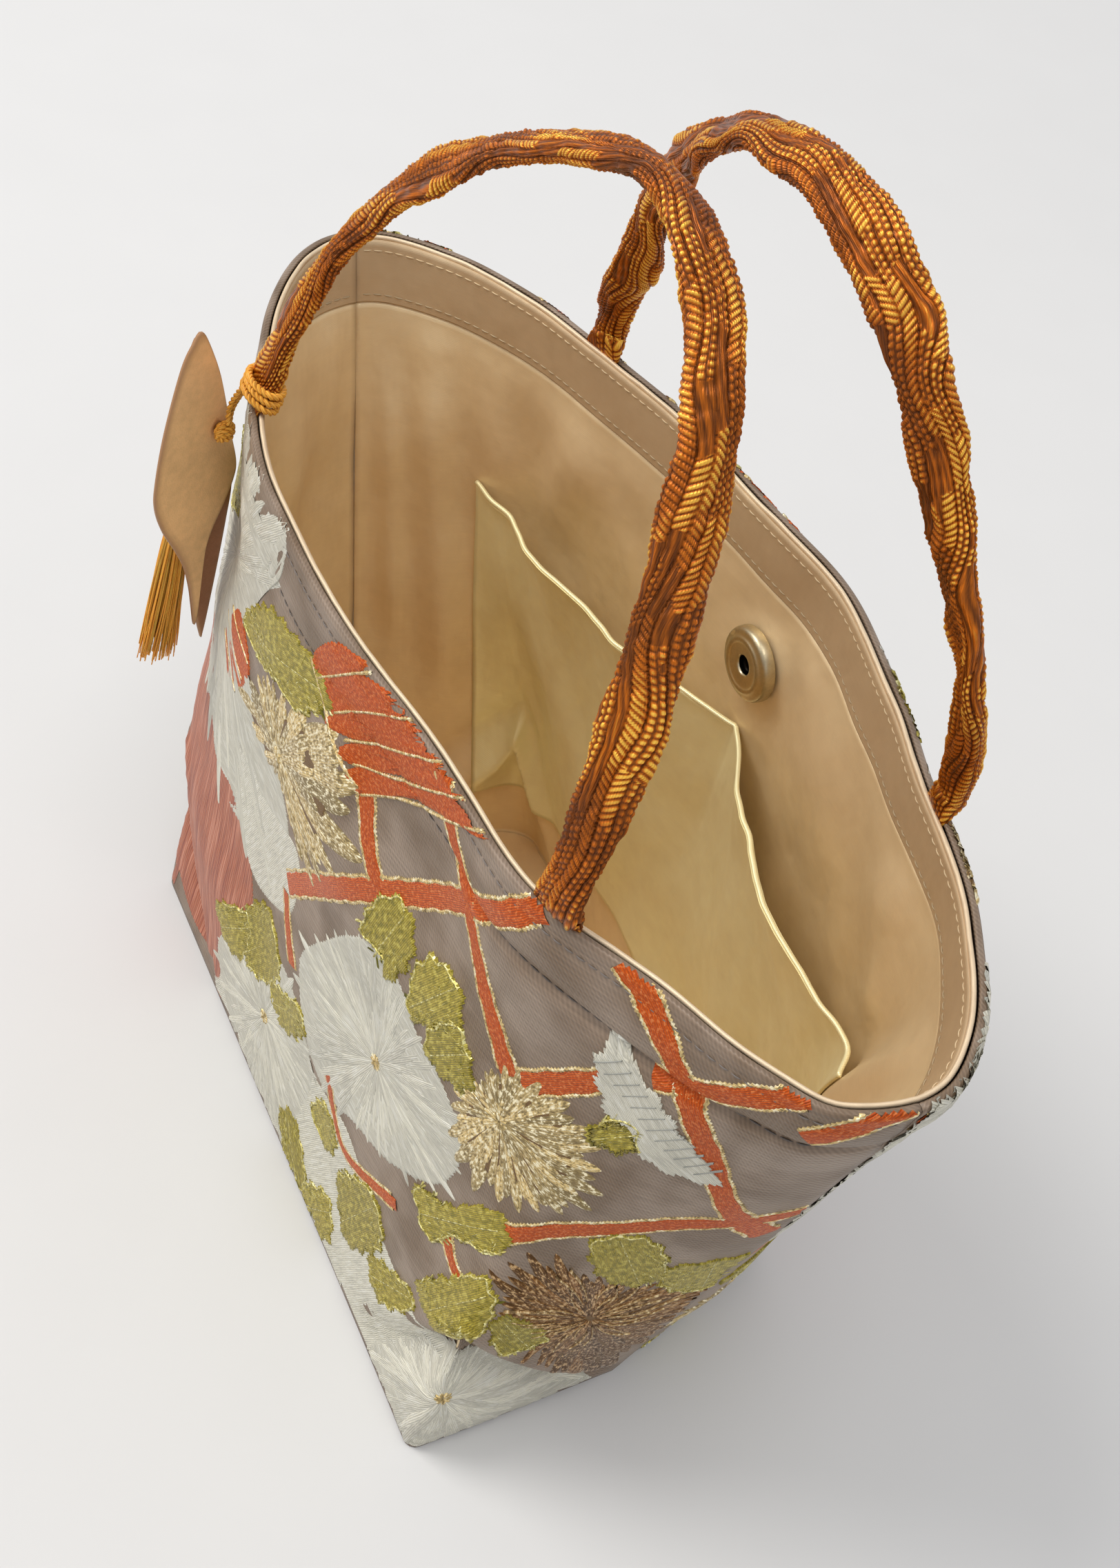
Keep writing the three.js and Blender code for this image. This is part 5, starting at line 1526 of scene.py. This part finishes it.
    def pocket(self, sizes, satin):
        wall = self.wall
        top, bottom = sizes.pocket_top / MM, sizes.pocket_bottom / MM
        half_share = sizes.pocket_width / 2 / MM / wall.panel
        shares = marked(0.5 - half_share, 0.5 + half_share, 1.5 / wall.panel, (0.5,))
        heights = marked(bottom, top, 1.5)
        share, z = np.meshgrid(shares, heights)
        u = (share - 0.5) * wall.panel
        part = np.abs(share - 0.5) / half_share
        climb = (z - bottom) / (top - bottom)
        slack = sizes.pocket_slack / MM * np.sin(math.pi * part) * climb ** 1.5
        held = np.sin(math.pi * part) ** 0.5
        ripple = 1.0 * soft_noise(u, z * 0.6, 44, 61) + 0.22 * soft_noise(u * 1.6 + z, z * 0.5, 19, 62)
        slack = np.maximum(0, slack + ripple * held * smoothstep(0, 0.3, climb))
        fold = self.folds(1, u, z)
        seated = wall.place(1, share, z, LINING[1] + 0.35 + fold)
        slender = (wall.half_mouth_width / wall.half_mouth) ** 2
        way = unit(seated * (-slender, -1, 0))
        top_roll = smoothstep(0.975, 1.0, climb)
        outer = seated + way * slack[..., None]
        inner = outer + way * (0.7 + 0.9 * top_roll * held)[..., None]
        uv = np.stack([u, z], -1)
        piece = closed_sheet("satin_slip_pocket", outer, inner, uv, satin, slot="satin_lining")
        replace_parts(piece, "slip_pocket")
        hem = self.pocket_edge(outer, inner, satin)

    def pocket_edge(self, outer, inner, satin):
        """The rolled hem along the pocket's open top"""
        path, along = through((outer[-1] + inner[-1]) / 2, 1.0)
        up = np.broadcast_to([0.0, 0.0, 1.0], path.shape)
        size = 1.25 + 0.12 * np.sin(along / 7.0)
        across = unit(np.cross(directions(path), up))
        points, faces = capped_tube(tube(path, across, up, size, size * 0.9, 10))
        bundle = Bundle()
        bundle.add(points, faces, points[:, :1] * (0, 1))
        return bundle.piece("pocket_rolled_hem", satin, slot="satin_lining")


class TOTE_OT_stitches(ToteOperator, bpy.types.Operator):
    """Sew the visible lines: rim and facing seam"""
    bl_idname = "tote.stitches"
    bl_label = "Stitching"

    def build(self, context, sizes, colours):
        wall = Wall(sizes)
        pitch = sizes.stitch_pitch / MM
        pale = twisted_silk("pale sewing thread", (0.62, 0.48, 0.30), 1.0)
        dark = twisted_silk("dark sewing thread", (0.17, 0.145, 0.13), 1.0)
        inside, outside = Bundle(), Bundle()
        for side in (-1, 1):
            for z in (wall.seam + SEAM_STITCH, wall.height - RIM_STITCH):
                wall_stitches(inside, wall, side, z, FACING[1], -1, pitch, False)
            low, high = (0.37, 0.996) if side < 0 else (0.004, 0.63)
            for z, spacing in ((wall.seam, pitch * 1.15), (wall.height - OUTER_RIM_STITCH, pitch)):
                wall_stitches(outside, wall, side, z, 0.0, 1, spacing, low=low, high=high)
        inside.piece("inside_topstitching", pale, slot="facing")
        outside.piece("outside_topstitching", dark, slot="brocade")


class TOTE_OT_snap(ToteOperator, bpy.types.Operator):
    """Turn the two halves of the magnetic snap"""
    bl_idname = "tote.snap"
    bl_label = "Magnetic snap"

    SEGMENTS = 72
    # How far each half's seat lies in from the end of its solid
    SEATS = {1: 3.8, -1: 4.2}
    # Inside this radius and height the socket's hole is painted near black as shade
    SHADE_PAINTED_HOLE = (2.3, 3.0)

    def build(self, context, sizes, colours):
        brass = plated("antique plating", colours.brass, 0.34)
        socket = [(0.0, 1.2), (1.7, 1.2), (2.1, 1.6), (2.25, 2.6), (2.5, 3.15), (3.2, 3.3), (5.3, 3.35), (5.8, 3.7),
                  (6.5, 3.72), (7.1, 3.3), (8.3, 3.0), (8.8, 2.4), (9.0, 1.4), (9.0, 0.25), (8.8, 0.05), (0.0, 0.05)]
        stud = [(0.0, 4.1), (1.6, 4.1), (2.2, 3.9), (2.45, 3.4), (2.5, 1.9), (2.9, 1.62), (4.5, 1.7), (7.4, 1.6),
                (8.5, 1.2), (8.95, 0.7), (9.0, 0.25), (8.8, 0.05), (0.0, 0.05)]
        for node, profile, side in (("snap_socket", socket, 1), ("snap_stud", stud, -1)):
            self.half(node, profile, side, brass)
        refinish("snap_magnet", plated("dark magnet", (0.06, 0.06, 0.06), 0.4))
        refinish("snap_socket_washer", brass)
        refinish("snap_stud_washer", brass)

    def half(self, node, profile, side, brass):
        low, high = (np.array(corner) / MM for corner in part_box(node))
        centre_z = (low[2] + high[2]) / 2
        seat = (low if side > 0 else high)[1] + side * self.SEATS[side]
        smooth = self.softened(profile)
        radius, height = smooth[:, :1], smooth[:, 1:]
        angle = 2 * math.pi * np.arange(self.SEGMENTS) / self.SEGMENTS
        rings = np.stack(np.broadcast_arrays(radius * np.cos(angle), seat - side * height,
                                             centre_z + radius * np.sin(angle)), -1)
        faces = grid_faces(len(smooth), self.SEGMENTS, closed=True, flip=side < 0)
        # The socket's hole, marked in the tone to be painted as shade
        hollow = (radius < self.SHADE_PAINTED_HOLE[0]) & (height < self.SHADE_PAINTED_HOLE[1]) & (side > 0)
        piece = new_piece(f"{node}_turned", rings, faces, brass, slot="antique_brass",
                          uv=np.stack(np.broadcast_arrays(angle * 3, height), -1),
                          tone=np.broadcast_to(hollow, rings.shape[:2]))
        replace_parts(piece, node)

    @staticmethod
    def softened(profile):
        """A profile with its corners cut twice, its ends kept just off the axis"""
        points = np.array(profile, float)
        points[:, 0] = np.maximum(points[:, 0], 0.02)
        for _ in range(2):
            cuts = [points[:-1] * (1 - cut) + points[1:] * cut for cut in (0.25, 0.75)]
            middle = np.stack(cuts, 1).reshape(-1, 2)[1:-1]
            points = np.vstack([points[:1], middle, points[-1:]])
        return points


class TOTE_OT_tag(ToteOperator, bpy.types.Operator):
    """Cut the leather tag and tie it to the handle foot with its tassel"""
    bl_idname = "tote.tag"
    bl_label = "Tag, tie and tassel"

    # Degrees that the tag turns from the front, and its hole's place from the handle's foot
    HEADING = 25.0
    REACH = np.array([-10.5, -8.0, -13.2])
    HOLE, THICKNESS, LEAF_GAP = 1.3, 1.2, 0.3
    # The tassel: its head's place from the hole, degrees of lean, its sizes, and its thread's start behind the tag
    TASSEL_DROP, TASSEL_OFFSET, TASSEL_LEAN = 22.0, 5.0, 6.0
    HEAD_LENGTH, HEAD_RADIUS, SKIRT_LENGTH, SKIRT_THREADS = 7.0, 2.6, 41.0, 230
    BEHIND = -1.8
    # Length of one turn of a ply
    PLY_TURN = 2.6
    # The tie's loops round the cord: their heights above the rim, and half their width and thickness
    LOOP_RISES, LOOP_REACH, LOOP_HALF = (2.0, 3.5, 4.9), 5.9, 3.6
    # The knot's loops: tilt and radius of each
    KNOT_LOOPS = ((0.2, 2.2), (0.9, 2.0), (1.5, 1.9), (2.3, 2.1))
    # The bound head: its threads, its binding's turns, and its radius at depths below its top
    HEAD_THREADS, BINDING_TURNS = 26, 4
    HEAD_DEPTHS, HEAD_RADII = [0, 0.6, 2, 3, 3.9, 4.5, 5.4, 7], [0.3, 1.1, 2.1, 2.3, 2.2, 1.7, 2.3, 2.4]
    # The leaves' outlines round the hole: towards the wall, and up
    FRONT_LEAF = [(-5.9, 27.4), (-7.4, 25.6), (-10.8, 20.0), (-15.4, 5.0), (-17.7, -8.0), (-17.7, -15.0),
        (-15.2, -23.0), (-11.2, -31.0), (-8.2, -38.0), (-6.4, -45.0), (-5.4, -51.5), (-4.5, -58.2),
        (-3.9, -58.0), (-3.3, -51.0), (-2.7, -43.0), (-1.9, -36.0), (-0.1, -30.5), (3.1, -24.5), (5.9, -18.0),
        (6.4, -13.0), (4.3, -4.0), (2.6, 4.0), (-0.2, 15.5), (-4.1, 25.6)]
    BACK_LEAF = [(-5.0, 25.2), (-6.6, 23.0), (-11.0, 12.0), (-14.6, -3.0), (-14.6, -13.0), (-10.4, -28.0),
        (-5.4, -45.0), (-1.0, -64.6), (0.0, -64.6), (2.8, -50.0), (5.7, -32.0), (7.0, -20.0), (5.0, -6.0),
        (0.6, 12.0), (-3.2, 23.6)]

    def build(self, context, sizes, colours):
        self.wall = wall = Wall(sizes)
        self.rim = np.array([-wall.foot_x, -wall.foot_y(), wall.height])
        heading = math.radians(self.HEADING)
        face = np.array([math.cos(heading), math.sin(heading), 0])
        towards = np.array([-face[1], face[0], 0])
        self.basis = np.stack([towards, [0.0, 0.0, 1.0], face])
        self.hole = self.rim + self.REACH
        leather = tag_leather("tag leather", colours.leather)
        # Painted shadow: the back leaf is the same leather made darker, as it hangs in shade
        leather_in_painted_shadow = tag_leather("leather in painted shadow", (0.34, 0.14, 0.06))
        silk = twisted_silk("tie silk", colours.thread, 2.0)
        back = -self.THICKNESS - self.LEAF_GAP
        self.leaf("front_leather_leaf", self.FRONT_LEAF, 0.0, leather, "tag_front_leaf", 0.5, 1.0)
        self.leaf("back_leather_leaf", self.BACK_LEAF, back, leather_in_painted_shadow, "tag_back_leaf", 0.9, 0.4)
        self.tie(sizes, silk)
        self.tassel(silk)

    def world(self, local):
        return self.hole + np.asarray(local, float) @ self.basis

    def leaf(self, name, places, shift, leather, node, phase, bend):
        """A leaf of leather in rings from its outline in to its hole, bent a little"""
        ring = closed_curve(places, 1.0)
        angle = np.arctan2(ring[:, 1], ring[:, 0])
        hole = np.stack([np.cos(angle), np.sin(angle)], -1) * self.HOLE
        shares = np.array([0, 0.02, 0.05, 0.12, 0.25, 0.4, 0.55, 0.7, 0.82, 0.92, 1.0])
        flat = ring[None] + (hole - ring)[None] * shares[:, None, None]
        bow = 0.35 * np.sin(flat[..., 1] / 17 + phase * 3) + 0.25 * np.sin(flat[..., 0] / 9 + phase)
        middle = shift + bow * bend * 0.5
        rounding = np.where(shares < 0.03, 0.28 * (1 - shares / 0.03), 0.0)[:, None]
        upper = np.concatenate([flat, (middle + self.THICKNESS - rounding)[..., None]], -1)
        lower = np.concatenate([flat, (middle + rounding)[..., None]], -1)
        body = np.concatenate([upper, lower[::-1]])
        rows, count = body.shape[:2]
        faces = grid_faces(rows + 1, count, closed=True, flip=True) % (rows * count)
        from_edge = np.minimum(np.concatenate([shares, shares[::-1]]) * 12, 1.0)
        piece = new_piece(name, self.world(body.reshape(-1, 3)), faces, leather, body="tag", slot="leather",
                          uv=body[..., :2], tone=np.repeat(from_edge, count))
        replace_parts(piece, node)

    def plied(self, bundle, path, radius, tone=0.5, sides=8):
        """A twisted thread: two plies wound round one line"""
        path, along = through(path, 0.35)
        side, other = frames_along(path)
        for k in (0, 1):
            phase = along / self.PLY_TURN * 2 * math.pi + math.pi * k
            line = path + (side * np.cos(phase)[:, None] + other * np.sin(phase)[:, None]) * radius * 0.5
            points, faces = round_thread(line, radius * 1.15, sides)
            uv = np.zeros((len(points), 2))
            uv[:-2, 0] = np.tile(np.arange(sides) * 0.25, len(line))
            uv[:-2, 1] = np.repeat(along, sides)
            bundle.add(points, faces, uv, tone + 0.2 * (k - 0.5))

    def tie(self, sizes, silk):
        loop, strand, knot = Bundle(), Bundle(), Bundle()
        (path, along), _ = cord_route(self.wall, sizes, -1)
        near = along < along[-1] / 4
        tangent = directions(path)
        angle = np.linspace(0, 2 * math.pi, 33)[:, None]
        for turn, rise in enumerate(self.LOOP_RISES):
            k = int(np.argmin(np.abs(path[near][:, 2] - self.rim[2] - rise)))
            across = unit(np.cross(tangent[k], [0.0, 1.0, 0.25]))
            out = np.cross(tangent[k], across)
            ring = (path[k] + (across * self.LOOP_REACH + tangent[k] * 0.5) * np.cos(angle)
                    + out * self.LOOP_HALF * np.sin(angle))
            self.plied(loop, ring, 0.8, tone=0.4 + 0.2 * turn)
        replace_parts(loop.piece("tie_loops", silk, slot="silk_thread"), "tie_loop")
        knot_at = self.world([0, 0, self.THICKNESS + 2.2])
        start = self.rim + np.array([-4.6, -2.4, 2.6])
        for shift in (-0.9, 0.9):
            side_step = np.array([0.35, -0.35, 0.6]) * shift
            middle = (start + knot_at) / 2 + np.array([-0.8, -0.8, 0]) + side_step * 1.4
            end = knot_at + unit(start - knot_at) * 2.2 + side_step
            self.plied(strand, [start + side_step, middle, end], 0.62, tone=0.5 + shift * 0.2)
        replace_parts(strand.piece("tie_strands", silk, slot="silk_thread"), "tie_strand")
        self.knot(knot, knot_at)
        peg = self.world([(0, 0, depth) for depth in (self.THICKNESS + 1.4, 0, self.BEHIND + 0.1)])
        self.plied(knot, peg, 0.7)
        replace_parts(knot.piece("tag_tie_knot", silk, body="tag", slot="silk_thread"), "tag_knot")

    def knot(self, bundle, centre):
        """A small wrapped knot: loops about two crossing axes"""
        for k, (tilt, size) in enumerate(self.KNOT_LOOPS):
            angle = np.linspace(0, 2 * math.pi, 21)
            across, up = np.cos(angle) * size, np.sin(angle) * size
            local = np.stack([across, up * math.cos(tilt), up * math.sin(tilt) * 0.6], -1)
            self.plied(bundle, centre + local @ self.basis, 0.75, tone=0.3 + 0.15 * k, sides=6)

    def tassel(self, silk):
        cosine, sine = math.cos(math.radians(self.TASSEL_LEAN)), math.sin(math.radians(self.TASSEL_LEAN))
        turn = np.array([[cosine, sine, 0], [-sine, cosine, 0], [0, 0, 1]])
        shift = np.array([-self.TASSEL_OFFSET, -self.TASSEL_DROP, self.BEHIND - self.HEAD_RADIUS])

        def placed(local):
            return self.world(np.asarray(local) @ turn.T + shift)

        thread = Bundle()
        start = np.array([0, 0, self.BEHIND - 0.7])
        end = np.array([-self.TASSEL_OFFSET, -self.TASSEL_DROP + 0.7, shift[2]])
        bend = np.array([end[0] * 0.9, end[1] / 2, (start[2] + end[2]) / 2])
        self.plied(thread, self.world([start, bend, end]), 0.6)
        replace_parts(thread.piece("tassel_hanging_thread", silk, body="tag", slot="silk_thread"), "tassel_thread")
        self.tassel_head(placed, silk)
        soft = silk_floats("tassel silk", (1.0, 0.43, 0.06), 0.95, 1.0, 2.0, 0.5, 0.95)
        soft.set("Subsurface Weight", 0.5)
        soft.set("Subsurface Radius", (1.0, 0.45, 0.15))
        soft.set("Subsurface Scale", 1.0 * MM)
        self.tassel_skirt(placed, soft.material)

    def tassel_head(self, placed, silk):
        head = Bundle()
        y = -np.linspace(0.1, self.HEAD_LENGTH, 12)
        radius = np.interp(-y, self.HEAD_DEPTHS, self.HEAD_RADII)
        for k in range(self.HEAD_THREADS):
            angle = 2 * math.pi * k / self.HEAD_THREADS
            path = placed(np.stack([radius * math.cos(angle), y, radius * math.sin(angle)], -1))
            head.add(*round_thread(path, 0.62, 5), None, 0.3 + 0.5 * (k % 3) / 2)
        for k in range(self.BINDING_TURNS):
            angle = np.linspace(0, 2 * math.pi, 19)
            level = np.full_like(angle, -4.1 - 0.28 * k)
            ring = np.stack([1.95 * np.cos(angle), level, 1.95 * np.sin(angle)], -1)
            self.plied(head, placed(ring), 0.34, tone=0.7, sides=5)
        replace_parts(head.piece("bound_tassel_head", silk, body="tassel", slot="silk_thread"), "tassel_head")

    def tassel_skirt(self, placed, silk):
        draw = np.random.RandomState(7)
        skirt = Bundle()
        for _ in range(self.SKIRT_THREADS):
            angle = draw.uniform(0, 2 * math.pi)
            out = math.sqrt(draw.uniform(0.02, 1))
            length = self.SKIRT_LENGTH * draw.uniform(0.86, 1.03)
            t = np.linspace(0, 1, 10)
            spread = 2.2 * out * (1 - t) + out * (6.0 * t ** 0.9)
            x = math.cos(angle) * spread + draw.uniform(-0.7, 0.7) * np.sin(t * draw.uniform(2, 5)) * t
            x = np.where(x > 0, x * (1 - 0.16 * t), x)
            z = math.sin(angle) * spread * (1 - 0.46 * t)
            z = z + (draw.uniform(-0.5, 0.5) * np.sin(t * 4) - 1.6) * t
            path = placed(np.stack([x, -self.HEAD_LENGTH + 0.4 - length * t, z], -1))
            points, faces = round_thread(path, draw.uniform(0.4, 0.62) * (1 - 0.35 * t), 4)
            skirt.add(points, faces, points[:, 2:] * (0, 1), draw.uniform(0, 1))
        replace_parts(skirt.piece("loose_tassel_skirt", silk, body="tassel", slot="tassel_silk"), "tassel_skirt")


class TOTE_PT_panel(bpy.types.Panel):
    """Lists the steps that build the bag"""
    bl_idname = "TOTE_PT_panel"
    bl_label = "Silk tote bag"
    bl_space_type = "VIEW_3D"
    bl_region_type = "UI"
    bl_category = "Tote"

    def draw(self, context):
        for step in STEPS:
            self.layout.operator(step.bl_idname, text=step.bl_label)
        for group in (context.scene.tote_sizes, context.scene.tote_colours):
            box = self.layout.box()
            for name in group.__annotations__:
                box.prop(group, name)


STEPS = (TOTE_OT_stage, TOTE_OT_handles, TOTE_OT_outside, TOTE_OT_inside, TOTE_OT_stitches, TOTE_OT_snap,
         TOTE_OT_tag)
CLASSES = (ToteSizes, ToteColours, *STEPS, TOTE_PT_panel)


def register():
    for item in CLASSES:
        bpy.utils.register_class(item)
    bpy.types.Scene.tote_sizes = bpy.props.PointerProperty(type=ToteSizes)
    bpy.types.Scene.tote_colours = bpy.props.PointerProperty(type=ToteColours)


def unregister():
    del bpy.types.Scene.tote_sizes
    del bpy.types.Scene.tote_colours
    for item in reversed(CLASSES):
        bpy.utils.unregister_class(item)


def main():
    register()
    bpy.ops.tote.stage()
    bpy.ops.tote.handles()
    bpy.ops.tote.outside()
    bpy.ops.tote.inside()
    bpy.ops.tote.stitches()
    bpy.ops.tote.snap()
    bpy.ops.tote.tag()
    bpy.context.view_layer.update()


if __name__ == "__main__":
    main()
